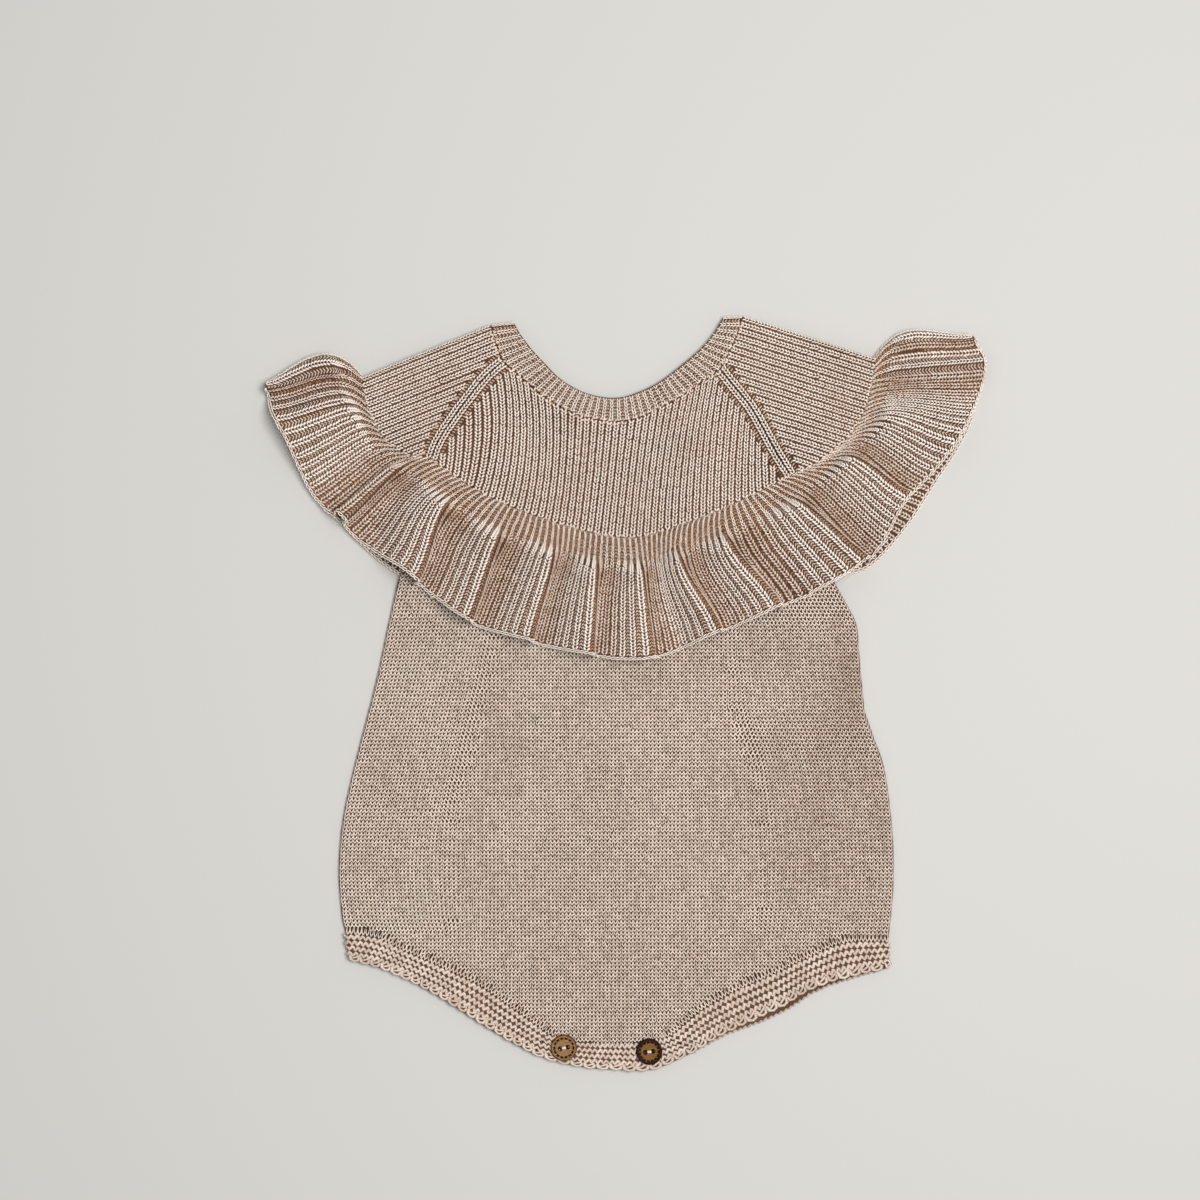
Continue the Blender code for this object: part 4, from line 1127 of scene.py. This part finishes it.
foldTable = np.array(ruffleFolds)
# a rib ends at each crest, so that its edge is the sharp side
foldStarts = np.concatenate([[0], np.cumsum(foldTable[:-1, 0]) - 0.2])
foldStarts[-1] += 0.2
ruffleRibs = int(round(foldStarts[-1]))
foldRoots = np.concatenate([[0], np.cumsum(ruffle["gathers"])]) / sum(ruffle["gathers"])
ruffleHem = smoothLine(foldTable[:, 1:3])
hemLengths = lineLengths(ruffleHem)
knotShares = hemLengths[np.arange(len(ruffleFolds)) * lineSteps] / hemLengths[-1]
hemAhead = unit(np.gradient(ruffleHem, axis=0))
hemOutward = np.stack([hemAhead[:, 1], -hemAhead[:, 0]], 1)


# place along a fold and height of its profile at a share q of its ribs, which lie at even
# distances over the profile, a little wider on the steep face
def foldProfile(q, valley, heightHere, heightNext, length):
    over = ruffle["overhang"]
    down = np.array([(0, 1.0), (over * 0.8, 0.98), (over, 0.80), (over * 0.6, 0.42),
                     (valley * 0.4, 0.12), (valley, 0.0)])
    s = np.linspace(0, 1, 13)[1:]
    rise = smoothStep(s, -0.06, 0.94)
    places = np.concatenate([down[:, 0], valley + (1 - valley) * s])
    heights = np.concatenate([down[:, 1] * heightHere, rise * heightNext])
    level = np.concatenate([down[:, 1], rise])
    level = (level[1:] + level[:-1]) / 2
    steps = np.hypot(np.diff(places) * length, np.diff(heights) * ruffle["steepWeight"])
    steps *= mix(ruffle["valleyWeight"], ruffle["crestWeight"], level)
    shares = np.concatenate([[0], np.cumsum(steps)]) / steps.sum()
    return np.interp(q, shares, places), np.interp(q, shares, heights)


# place on the hem with and without folds, height, how much painted shade it takes, and sag
def foldAt(u):
    u = np.clip(np.asarray(u, float), 0, ruffleRibs)
    index = np.clip(np.searchsorted(foldStarts[1:-1], u, side="right"), 0, len(ruffleFolds) - 2)
    place, height, flat, dark, sag = (np.zeros(u.shape) for _ in range(5))
    for k in range(len(ruffleFolds) - 1):
        here = index == k
        ribs, valley = foldStarts[k + 1] - foldStarts[k], foldTable[k, 6]
        a, b = foldTable[k, 5], foldTable[k + 1, 5]
        q = (u[here] - foldStarts[k]) / ribs
        length = (knotShares[k + 1] - knotShares[k]) * hemLengths[-1]
        if valley < 0.5:
            p, h = foldProfile(q, valley, a, b, length)
            past = p
        else:
            p, h = foldProfile(1 - q, 1 - valley, b, a, length)
            past, p = p, 1 - p
        place[here] = mix(knotShares[k], knotShares[k + 1], p)
        flat[here] = mix(knotShares[k], knotShares[k + 1], q)
        height[here] = h
        level = h / mix(a, b, q)
        # painted shade: darkest just past a crest's sharp edge and where the fold lies low, fading
        # towards the next crest
        dark[here] = (np.maximum(smoothStep(past, *ruffle["darkens"]),
                                 smoothStep(0.9 - level, 0.0, 0.3))
                      * (1 - smoothStep(past, *ruffle["lightens"])))
        sag[here] = foldTable[k, 7] * np.clip(1 - level, 0, 1)
        if k in ruffle["peeks"]:
            rolled = np.exp(-((level - 0.45) / 0.3) ** 2) * (q < 0.5)
            sag[here] += ruffle["peeks"][k] * rolled
    return place, height, flat, dark, sag


# how far a bent crest is off its straight line, 1 at a third of the way
def kneeShape(v):
    return 6.75 * v * (1 - v) ** 2


# how far each crest bends away from the straight line between root and hem
def kneeOffsets():
    offsets = []
    for k, row in enumerate(foldTable):
        start = lineAt(ruffleRoot, foldRoots[k])
        chord = row[1:3] - start
        share = np.clip((row[3:5] - start) @ chord / (chord @ chord), 0.08, 0.6)
        offset = (row[3:5] - start - share * chord) / kneeShape(share)
        offsets.append(offset * min(1, ruffle["mostKnee"] / np.linalg.norm(offset)))
    return np.array(offsets)


kneeTable = kneeOffsets()


# u counts ribs from the left shoulder, v runs from the seam to the hem
def ruffleSheet(u, v):
    u, v = paired(u, v)
    place, height, flat, _, sag = foldAt(u)
    root = lineAt(ruffleRoot, np.interp(u, foldStarts, foldRoots))
    knee = np.stack([np.interp(u, foldStarts, kneeTable[:, k]) for k in (0, 1)], -1)
    share = mix(flat, place, smoothStep(v, 0.08, 0.55))
    outward = np.stack([np.interp(share, hemLengths / hemLengths[-1], hemOutward[:, k])
                        for k in (0, 1)], -1)
    hem = lineAt(ruffleHem, share) + outward * sag[..., None]
    plan = mix(root, hem, v[..., None]) + knee * kneeShape(v)[..., None]
    depth = v * np.linalg.norm(hem - root, axis=-1)
    base = mix(cloth["seamLevel"], ruffleBase(plan[..., 0], plan[..., 1]),
               smoothStep(depth, 0.0, ruffle["rootRamp"]))
    grown = smoothStep(v, ruffle["foldStart"], ruffle["foldQuick"]) * mix(0.80, 1.0, v)
    grown = grown * (1 + ruffle["knuckle"]
                     * np.exp(-((v - ruffle["knuckleAt"]) / ruffle["knuckleWide"]) ** 2))
    return raised(plan, base + cloth["wall"] + height * grown)


# how wide the ruffle's two shoulder folds are
def ruffleFold(key, v):
    return (cloth["foldRound"]
            + ruffle["bulge"][key] * np.sin(math.pi * np.clip(v, 0, 1) ** 0.8))


ruffleAway = awayFrom(ruffleRoot, ruffleHem)
ruffleSurface = foldedSurface(ruffleSheet, ruffleRibs, ruffleAway, ruffle["tipRibs"],
                              ruffleFold)


def ruffleRise(u, v):
    narrow = smoothStep(v, *ruffle["rootZone"])
    return ruffle["rise"] * np.sin(math.pi * (u % 1.0)) ** mix(2.5, 1.0, narrow)


def makeRuffle():
    rows = np.concatenate([np.linspace(0, 0.3, 10)[:-1], np.linspace(0.3, 1.0, 19)])
    u, v = ribGrid(ruffleRibs, rows, (0, 0.25, 0.5, 0.75))
    front = ruffleSheet(u, v)
    facing = surfaceFrame(ruffleSheet, np.clip(u, 0.1, ruffleRibs - 0.1), v, 0.1)[2]
    outer = front + facing * (ruffleRise(u, v) - ruffle["sunk"])[..., None]
    inner = front - facing * cloth["wall"] * 0.8
    inner[..., 2] = np.maximum(inner[..., 2], 0.9)
    turns = [turnColumns(front - (0, 0, 0.2), front - (0, 0, cloth["wall"]), key, ruffleAway,
                         rows, ruffleFold(key, rows) - 0.2) for key in ("end", "start")]
    flat = np.linspace(1, 0, 90)
    back = flatBack(lineAt(ruffleRoot, flat), lineAt(backHem, flat), rows)
    shell = wallObject("ruffle_cloth", *joinWalls((outer, inner), turns[0], back, turns[1]),
                       ruffleGround, ring=True)

    # columns of stitches on the ribs, or the rungs of purl that show between them
    def laid(name, columns, shape, rungs, tall, lift, shade, seed):
        us, vs = rowPlaces(ruffleSurface, columns, cloth["row"], 0.005, 0.985)
        along, across, facing = surfaceFrame(ruffleSurface, us, vs, 0.12)
        places = ruffleSurface(us, vs)
        wide = np.clip(columnWidths(ruffleSurface, us, vs, along, across, 0.25), 2.0, 7.0)
        opened = smoothStep(vs, *ruffle["rootZone"])
        column = mix(ruffle["rootShare"] * wide,
                     np.minimum(ruffle["columnShare"] * wide, ruffle["column"]), opened)
        keep = np.ones(len(us), bool)
        if rungs:
            keep = (opened < 0.5) | (wide > mix(*ruffle["closed"], (us * 7.3) % 1.0))
        size = stitchSizes((wide - column) * 0.95 if rungs else column, cloth["row"], tall)
        # painted shade of the valleys and their pockets, less at the left tip, taken off the
        # stitches' tone; rungs also sink where it lies
        dark = foldAt(us)[3] * smoothStep(vs, 0.16, 0.30)
        dark = dark * (1 - ruffle["tipDark"] * np.exp(-((us - 6.0) / 4.0) ** 2))
        dark = dark * (1 + ruffle["pocketShade"] * np.exp(-((vs - 0.32) / 0.12) ** 2))
        places = places + facing * mix(lift[0], lift[1], dark)[:, None]
        toned = (mix(shade[0], shade[1], opened) - ruffle["sunkShade"] * dark
                 + 0.08 * softNoise(places[:, 0], places[:, 1], 25.0, seed))
        return layStitches(name, shape, ruffleYarn, places[keep], -along[keep], facing[keep],
                           size[keep], toned[keep], 0.07, 0.15, seed)

    tip = ruffle["tipRibs"]
    ribs = laid("ruffle_stitches", np.arange(1 - tip, ruffleRibs + tip - 1) + 0.5, ribStitch,
                False, 1.7, (0.30, 0.30), (0.92, 1.10), 41)
    # the rungs' low tone is painted shade in the troughs between ribs
    rungs = laid("ruffle_rungs", np.arange(1 - tip, ruffleRibs + tip), troughStitch,
                 True, 0.9, (0.0, -0.40), (0.12, 0.52), 42)
    seam = seamRow("ruffle_seam", ruffleRoot, cloth["seamLevel"] + cloth["wall"] + 0.1,
                   ruffleRibs, seams["ruffleBump"], 45)
    return shell, [ribs, rungs, seam]


# the hem's chain of stitches
chain = {"pitch": 2.5, "size": (2.0, 2.6, 1.6)}


# ribs and the hem's chain on the upper side of the back layer, where it shows past the front
def backRuffleStitches():
    def shown(x, y):
        return (sideDistance(x, y) < ruffle["backInside"]) & (np.abs(x) < ruffle["backReach"])

    surface = betweenLines(ruffleRoot, backHem, ruffleRibs, lambda v: cloth["wall"])
    us, vs = rowPlaces(surface, np.arange(ruffleRibs) + 0.5, cloth["row"], 0.62, 0.985)
    places = surface(us, vs)
    keep = shown(places[:, 0], places[:, 1])
    along, across, facing = surfaceFrame(surface, us, vs, 0.2)
    places[:, 2] += 0.2
    hem = lineAt(backHem, np.linspace(0, 1, int(lineLengths(backHem)[-1] / chain["pitch"])))
    ahead = unit(np.gradient(hem, axis=0))
    kept = shown(hem[:, 0], hem[:, 1])
    hem, ahead = hem[kept], ahead[kept]
    flat = np.zeros((len(hem), 1))
    places = np.concatenate([places[keep], np.hstack([hem, flat + cloth["wall"] + 0.4])])
    upward = np.concatenate([-along[keep], np.hstack([ahead, flat])])
    facing = np.concatenate([facing[keep], np.tile(upright, (len(hem), 1))])
    isRib = np.arange(len(places)) < keep.sum()
    size = np.where(isRib[:, None], (3.4, cloth["row"], 1.4), (*chain["size"][:2], 1.4))
    shade = np.where(isRib, 0.66, 0.95)
    return layStitches("ruffle_back_stitches", ribStitch, ruffleYarn, places, upward, facing,
                       size, shade, 0.06, 0.1, 44)


# the bound-off edge of the ruffle: a chain along the hem
def hemChain():
    u = np.linspace(0.02, ruffleRibs - 0.02, 6000)
    line = ruffleSurface(u, np.ones_like(u))
    along = lineLengths(line)
    count = int(along[-1] / chain["pitch"])
    place = (np.arange(count) + 0.5) / count * along[-1]
    us = np.interp(place, along, u)
    ones = np.ones_like(us)
    down, across, facing = surfaceFrame(ruffleSurface, us, ones * 0.98, 0.05)
    places = ruffleSurface(us, ones) + down * 0.1 + facing * 0.15
    tilt = unit(facing + down * 0.5)
    return layStitches("ruffle_hem_chain", ribStitch, ruffleYarn, places, across, tilt,
                       np.array(chain["size"]), 0.92, 0.08, 0.12, 43)


# leg bands and crotch bands

garter = {"ridges": 4, "turn": 0.028, "tone": 0.60, "backBump": (2.2, 2.4, 1.3),
          # pitch along the band, how wide against a ridge, how tall, shape
          "ridgeRows": (2.85, 0.63, 1.5, garterWave), "edgeRows": (6.0, 1.25, 1.9, edgeLoop),
          # how far the back band comes out below the front one
          "shows": {"left": -1.0, "right": 2.2}}


def bandTop(v):
    return layer + cloth["wall"] * mix(1.0, 0.72, smoothStep(v, 0.8, 1.0))


def trimLine(line, first, last):
    along = lineLengths(line)
    inside = line[(along > first) & (along < along[-1] - last)]
    return np.vstack([lineAt(line, first / along[-1])[None], inside,
                      lineAt(line, 1 - last / along[-1])[None]])


# lines of each band from left to right, body edge and outer edge
bandEdges = {
    "left": (trimLine(moveLine(legUpperLeft, -halfGap), cloth["foldRound"], halfGap),
             trimLine(legLowerLeft, cloth["foldRound"], halfGap)),
    "middle": (trimLine(moveLine(crotchUpper, -halfGap), halfGap, halfGap),
               trimLine(crotchLower, halfGap, halfGap)),
    "right": (trimLine(moveLine(legUpperRight, halfGap), cloth["foldRound"], halfGap)[::-1],
              trimLine(legLowerRight, cloth["foldRound"], halfGap)[::-1]),
}


def makeBand(side):
    upper, lower = bandEdges[side]
    surface = folded = betweenLines(upper, lower, 1, bandTop)
    rows = np.linspace(0, 1, 17)
    u, v = np.meshgrid(np.linspace(0, 1, 60), rows, indexing="ij")
    outer = surface(u, v)
    inner = outer.copy()
    inner[..., 2] = layer
    outer[..., 2] += 0.25 * np.sin(math.pi * garter["ridges"] * v) ** 2 - 0.25
    if side != "middle":
        key = "start" if side == "left" else "end"
        away = {key: awayFrom(upper, lower)[key]}
        folded = foldedSurface(surface, 1, away, garter["turn"])
        turned = turnColumns(outer, inner, key, away, rows, cloth["foldRound"])
        share = np.linspace(1, 0, 30)
        start, end = lineAt(upper, share), lineAt(lower, share)
        end = end + unit(end - start) * (garter["shows"][side]
                                         * np.sin(math.pi * share) ** 2)[:, None]
        outer, inner = foldedWall(side, (outer, inner), turned, flatBack(start, end, rows))
    shell = wallObject("band_cloth_" + side, outer, inner, bandGround)
    parts = []
    if garter["shows"].get(side, 0) > 0:
        bumps = int(lineLengths(end)[-1] / garter["ridgeRows"][0])
        spots = lineAt(end, (np.arange(bumps) + 0.5) / bumps)
        ahead = unit(lineAt(end, (np.arange(bumps) + 0.7) / bumps) - spots)
        parts.append(layStitches(
            "band_back_" + side, purlStitch, garterYarn,
            np.column_stack([spots, np.full(bumps, cloth["wall"] + 0.1)]),
            np.column_stack([-ahead[:, 1], ahead[:, 0], np.zeros(bumps)]),
            np.tile(upright, (bumps, 1)), np.array(garter["backBump"]), 0.30, 0.1, 0.2, 59))
    fine = np.linspace(-garter["turn"] if side == "left" else 0.0,
                       1 + garter["turn"] if side == "right" else 1.0, 240)
    middleLength = lineLengths(folded(fine, np.full_like(fine, 0.5)))[-1]
    # the width of the band is its ridges and three quarters of one for the edge
    widths = garter["ridges"] + 0.75
    for kind, levels, (pitch, wide, high, shape) in (
            ("ridges", (np.arange(garter["ridges"]) + 0.35) / widths, garter["ridgeRows"]),
            ("edge", [0.875], garter["edgeRows"])):
        places, upward, facing, size = [], [], [], []
        count = int(round(middleLength / pitch))
        for index, level in enumerate(levels):
            along = lineLengths(folded(fine, np.full_like(fine, level)))
            shift = 0.25 + 0.5 * (index % 2)
            us = np.interp((np.arange(count) + shift) / count * along[-1], along, fine)
            vs = np.full(count, level)
            down, across, face = surfaceFrame(folded, us, vs, 0.004)
            places.append(folded(us, vs) + face * 0.35)
            square = np.cross(face, across)
            upward.append(square * -np.sign(np.sum(square * down, axis=1))[:, None])
            facing.append(face)
            inside = np.clip(us, 0, 1)
            tall = np.linalg.norm(surface(inside, vs * 0 + 1) - surface(inside, vs * 0), axis=1)
            size.append(np.stack([np.full(count, along[-1] / count), tall / widths * wide,
                                  np.full(count, high)], -1))
        places, upward, facing, size = (np.concatenate(a) for a in
                                        (places, upward, facing, size))
        parts.append(layStitches("band_" + kind + "_" + side, shape, garterYarn, places,
                                 upward, facing, size, garter["tone"], 0.09, 0.18,
                                 50 + len(side) + 7 * len(kind)))
    return shell, parts


# buttons

buttons = {"radius": 6.8, "thick": 2.4, "rim": 1.6, "dish": 0.5, "edge": 0.55, "hole": 1.15,
           "spacing": 3.9, "level": 4.8, "sides": 72, "threads": 4, "thread": 0.24,
           "threadPitch": 0.30,
           "left": {"place": (-31.7, -183.6), "turn": 12.0, "wood": (0.34, 0.195, 0.085),
                    "grain": (0.19, 0.098, 0.038), "rim": (0.085, 0.030, 0.012),
                    "burnt": 0.45, "burnAndHoleShade": (0.020, 0.006, 0.004), "markRadius": 4.95,
                    "marks": 14},
           "right": {"place": (12.5, -185.6), "turn": 8.0, "wood": (0.24, 0.125, 0.028),
                     "grain": (0.12, 0.056, 0.013), "rim": (0.020, 0.003, 0.004),
                     "burnt": 1.75, "burnAndHoleShade": (0.016, 0.003, 0.004), "markRadius": 4.9,
                     "marks": 15}}


# wood with fine grain, a scorched rim, a ring of short burnt marks and painted shade in the two
# holes
def buttonMaterial(side):
    look = buttons[side]
    made = newMaterial("button_wood_" + side, 0.7, 0.0)
    add = made[2]
    made[1].inputs["Specular IOR Level"].default_value = 0.12
    place = add("ShaderNodeTexCoord").outputs["Object"]
    centred = add("ShaderNodeMapping", {"Vector": place, "Location": (
        -look["place"][0] * mm, -look["place"][1] * mm, 0)}).outputs[0]
    split = add("ShaderNodeSeparateXYZ", {"Vector": centred})
    x, y = split.outputs["X"], split.outputs["Y"]

    def maths(operation, *values):
        return mathsNode(add, operation, *values)

    def length(a, b):
        return maths("SQRT", maths("ADD", maths("MULTIPLY", a, a), maths("MULTIPLY", b, b)))

    def step(value, low, high):
        return rangeNode(add, value, low, high, kind="SMOOTHSTEP")

    radius = length(x, y)
    wobble = noiseNode(add, centred, 420.0)
    worn = maths("MULTIPLY_ADD", maths("SUBTRACT", wobble, 0.25), 1.5 * mm, radius)
    angle = maths("ARCTAN2", y, x)
    grain = add("ShaderNodeMapping", {"Vector": centred, "Scale": (300.0, 2600.0, 300.0)})
    lines = noiseNode(add, grain.outputs[0], 1.0, 4.0)
    wood = blendNode(add, step(lines, 0.35, 0.65), look["grain"], look["wood"])
    outer = (buttons["radius"] + 0.35) * mm
    rim = step(worn, outer - (0.5 + look["burnt"]) * mm, outer - look["burnt"] * 0.55 * mm)
    ring = maths("SUBTRACT", 1.0, step(maths("ABSOLUTE", maths(
        "SUBTRACT", radius, look["markRadius"] * mm)), 0.40 * mm, 0.70 * mm))
    dash = maths("ABSOLUTE", maths("SUBTRACT", maths("FRACT", maths(
        "MULTIPLY", angle, look["marks"] / (2 * math.pi))), 0.5))
    dash = maths("MULTIPLY_ADD", maths("SUBTRACT", wobble, 0.5), 0.35, dash)
    burnAndHoleShade = maths("MULTIPLY", ring, step(dash, 0.08, 0.16))
    turn = math.radians(look["turn"])
    along = maths("ADD", maths("MULTIPLY", x, math.cos(turn)),
                  maths("MULTIPLY", y, math.sin(turn)))
    off = maths("SUBTRACT", maths("MULTIPLY", y, math.cos(turn)),
                maths("MULTIPLY", x, math.sin(turn)))
    # painted shade: the holes' walls and a thin ring round them take the marks' dark colour
    past = maths("SUBTRACT", maths("ABSOLUTE", along), buttons["spacing"] / 2 * mm)
    hole = maths("SUBTRACT", 1.0, step(length(past, off), buttons["hole"] * mm,
                                       (buttons["hole"] + 0.25) * mm))
    burnAndHoleShade = maths("MAXIMUM", burnAndHoleShade, hole)
    colour = blendNode(add, burnAndHoleShade, blendNode(add, rim, wood, look["rim"]), look["burnAndHoleShade"])
    height = maths("SUBTRACT", maths("MULTIPLY", lines, 0.25), burnAndHoleShade)
    return finishMaterial(made, colour, height, 0.6, 0.00025)


def makeButton(side):
    made = buttons[side]
    radius, thick, edge = buttons["radius"], buttons["thick"], buttons["edge"]
    dish = radius - buttons["rim"]
    low = thick - buttons["dish"]
    ring = [(0.0, low)] + [(dish - 1.0 + 0.5 * math.sin(a), low + 0.5 * buttons["dish"]
                            * (1 - math.cos(a))) for a in np.linspace(0, math.pi / 2, 4)]
    ring += [(dish - 0.2, thick - 0.08), (dish + 0.1, thick)]
    ring += [(radius - edge + edge * math.sin(a), thick - edge + edge * math.cos(a))
             for a in np.linspace(0, math.pi / 2, 5)]
    ring += [(radius - edge + edge * math.cos(a), edge - edge * math.sin(a))
             for a in np.linspace(0, math.pi / 2, 5)] + [(0.0, 0.0)]
    sides = buttons["sides"]
    points = [(0, 0, ring[0][1])]
    for k in range(sides):
        angle = 2 * math.pi * k / sides
        points += [(r * math.cos(angle), r * math.sin(angle), z) for r, z in ring[1:-1]]
    points.append((0, 0, 0))
    count, last, faces = len(ring) - 2, len(points) - 1, []
    for k in range(sides):
        here, there = 1 + k * count, 1 + (k + 1) % sides * count
        faces.append((0, here, there))
        faces += [(here + r, here + r + 1, there + r + 1, there + r) for r in range(count - 1)]
        faces.append((last, there + count - 1, here + count - 1))
    turn = math.radians(made["turn"])
    axis = np.array([math.cos(turn), math.sin(turn)])
    centre = np.array([*made["place"], buttons["level"]])
    disc = meshObject("disc", np.array(points) + centre, faces)
    cutters = []
    for sign in (-1, 1):
        spot = centre[:2] + sign * axis * buttons["spacing"] / 2
        bpy.ops.mesh.primitive_cylinder_add(
            vertices=24, radius=buttons["hole"] * mm, depth=12 * mm,
            location=(*spot * mm, (buttons["level"] + 0.3 + 6.0) * mm))
        cutters.append(bpy.context.object)
        hole = disc.modifiers.new("hole", "BOOLEAN")
        hole.operation, hole.solver, hole.object = "DIFFERENCE", "EXACT", cutters[-1]
    graph = bpy.context.evaluated_depsgraph_get()
    graph.update()
    mesh = bpy.data.meshes.new_from_object(disc.evaluated_get(graph))
    for old in [disc] + cutters:
        bpy.data.objects.remove(old)
    button = addObject("wood_button_" + side, mesh)
    mesh.materials.clear()
    mesh.materials.append(buttonMaterial(side))
    mesh.shade_smooth()
    mesh.set_sharp_from_angle(angle=math.radians(40))
    # white sewing thread, in at one hole and out at the other
    draw = np.random.default_rng(61)
    rods = []
    for k in range(buttons["threads"]):
        apart = (np.array([-axis[1], axis[0]]) * (k - (buttons["threads"] - 1) / 2)
                 * buttons["threadPitch"])
        reach = buttons["spacing"] / 2 - 0.90
        top = buttons["level"] + thick - buttons["dish"] + 0.25 + 0.1 * (k % 2)
        path = [(-reach, -1.6), (-reach + 0.12, -0.2), (-reach * 0.6, 0.12), (0, 0.18),
                (reach * 0.6, 0.12), (reach - 0.12, -0.2), (reach, -1.6)]
        jitter = draw.uniform(-0.06, 0.06, (len(path), 2))
        rods.append(yarnRod([(*(centre[:2] + axis * a + apart + j), top + z)
                             for (a, z), j in zip(path, jitter)], buttons["thread"], 6))
    return button, meshObject("button_thread_" + side, *joinRods(rods), threadYarn)


threadYarn = yarnMaterial("thread_cotton", (0.92, 0.90, 0.86), (0.7, 0.66, 0.6), 0.05)


# building the garment

def dress(piece, slotName, *replaced):
    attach(piece, "root")
    if replaced:
        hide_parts(*replaced)


def makeGarment():
    made = {}
    made["body"] = makeBody()
    print("body done")
    made["yoke"] = makeYoke()
    for side in ("left", "right"):
        made["cap_" + side] = makeCap(side)
    raglan = raglanStitches()
    print("yoke and shoulders done")
    made["neckband"] = makeNeckband()
    made["ruffle"] = makeRuffle()
    made["ruffle"][1].append(backRuffleStitches())
    made["ruffle"][1].append(hemChain())
    print("ruffle done")
    for side in ("left", "middle", "right"):
        made["band_" + side] = makeBand(side)
    made["yoke"][1].extend(raglan)
    return made


garment = makeGarment()
# piece: the node it dresses, slot, flat width and length of the part that is modelled, share
# of that rectangle which the cut fills, how it is held, and what it rests on
sheets = {
    "body": ("front_body", "plain_knit", (0.288, 0.292), 0.76, "laid", ["back_body"]),
    "yoke": ("front_yoke", "rib_knit", (0.186, 0.091), 0.62, "laid", ["back_yoke"]),
    "cap_left": ("shoulder_cap_left", "rib_knit", (0.110, 0.086), 0.62, "laid", []),
    "cap_right": ("shoulder_cap_right", "rib_knit", (0.120, 0.110), 0.64, "laid", []),
    "neckband": ("neckband", "rib_knit", (0.33, 0.017), 1.0, "laid", []),
    "ruffle": ("ruffle", "ruffle_knit", (1.1, 0.055), 1.0, "gathered", ["front_body"]),
    "band_left": ("leg_band_left", "garter_knit", (0.25, 0.014), 1.0, "laid", []),
    "band_middle": ("crotch_band_front", "garter_knit", (0.08, 0.014), 0.9, "laid",
                    ["crotch_band_back"]),
    "band_right": ("leg_band_right", "garter_knit", (0.26, 0.014), 1.0, "laid", []),
}
for key, (node, slotName, flat, share, held, restsOn) in sheets.items():
    shell, parts = garment[key]
    dress(shell, slotName, node)
    for part in parts:
        dress(part, slotName)

# the hidden back panels keep their nodes, with the same knit drawn on them
plainKnit = knitMaterial("plain_knit_back", colours["backLight"], colours["backDark"],
                         body["column"], body["row"])
ribKnit = knitMaterial("rib_knit_back", colours["backLight"], colours["backDark"], 3.7,
                       cloth["row"])
backs = {"back_body": (plainKnit, (0.288, 0.30), 0.76),
         "back_yoke": (ribKnit, (0.186, 0.09), 0.62),
         "crotch_band_back": (plainKnit, (0.08, 0.014), 0.9)}
for name, (material, flat, share) in backs.items():
    panel = bpy.data.objects[name]
    panel.data.materials.clear()
    panel.data.materials.append(material)
for side in ("left", "right"):
    button, thread = makeButton(side)
    dress(button, "button", "button_" + side)
    dress(thread, "garter_knit")
for shape in (plainStitch, ribStitch, purlStitch, troughStitch, garterWave, edgeLoop):
    bpy.data.objects.remove(shape)


# floor, light and camera

studio = {"centre": (-0.013, 0.04836), "height": 1.6, "seen": 0.624, "sensor": 36.0,
          "floor": (0.575, 0.570, 0.555), "floorHalf": 4000, "floorDrop": 0.0002,
          "world": 0.38, "worldColour": (1.0, 0.99, 0.97), "key": 31.0, "keySize": 0.8,
          "keyColour": (1.0, 0.985, 0.96), "keyPlace": (0.44, 0.14, 1.75)}


def makeStudio():
    half = studio["floorHalf"]
    floor = meshObject("floor", [(-half, -half, 0), (half, -half, 0), (half, half, 0),
                                 (-half, half, 0)], [(0, 1, 2, 3)], smooth=False)
    material = bpy.data.materials.new("floor_paint")
    material.use_nodes = True
    shader = material.node_tree.nodes["Principled BSDF"]
    shader.inputs["Base Color"].default_value = (*studio["floor"], 1)
    shader.inputs["Roughness"].default_value = 0.9
    floor.data.materials.append(material)
    floor.location.z = -studio["floorDrop"]
    world = bpy.data.worlds.new("studio")
    world.use_nodes = True
    back = world.node_tree.nodes["Background"]
    back.inputs["Color"].default_value = (*studio["worldColour"], 1)
    back.inputs["Strength"].default_value = studio["world"]
    scene.world = world
    lamp = bpy.data.lights.new("key", "AREA")
    lamp.energy = studio["key"]
    lamp.size = studio["keySize"]
    lamp.color = studio["keyColour"]
    key = addObject("key", lamp)
    key.location = studio["keyPlace"]
    aim = Vector((*studio["centre"], 0.0)) - key.location
    key.rotation_euler = aim.to_track_quat("-Z", "Y").to_euler()
    view = bpy.data.cameras.new("overhead")
    view.sensor_width = studio["sensor"]
    view.lens = view.sensor_width * studio["height"] / studio["seen"]
    camera = addObject("overhead", view)
    camera.location = (*studio["centre"], studio["height"])
    scene.camera = camera
    scene.view_settings.view_transform = "Standard"
    scene.view_settings.look = "None"


makeStudio()
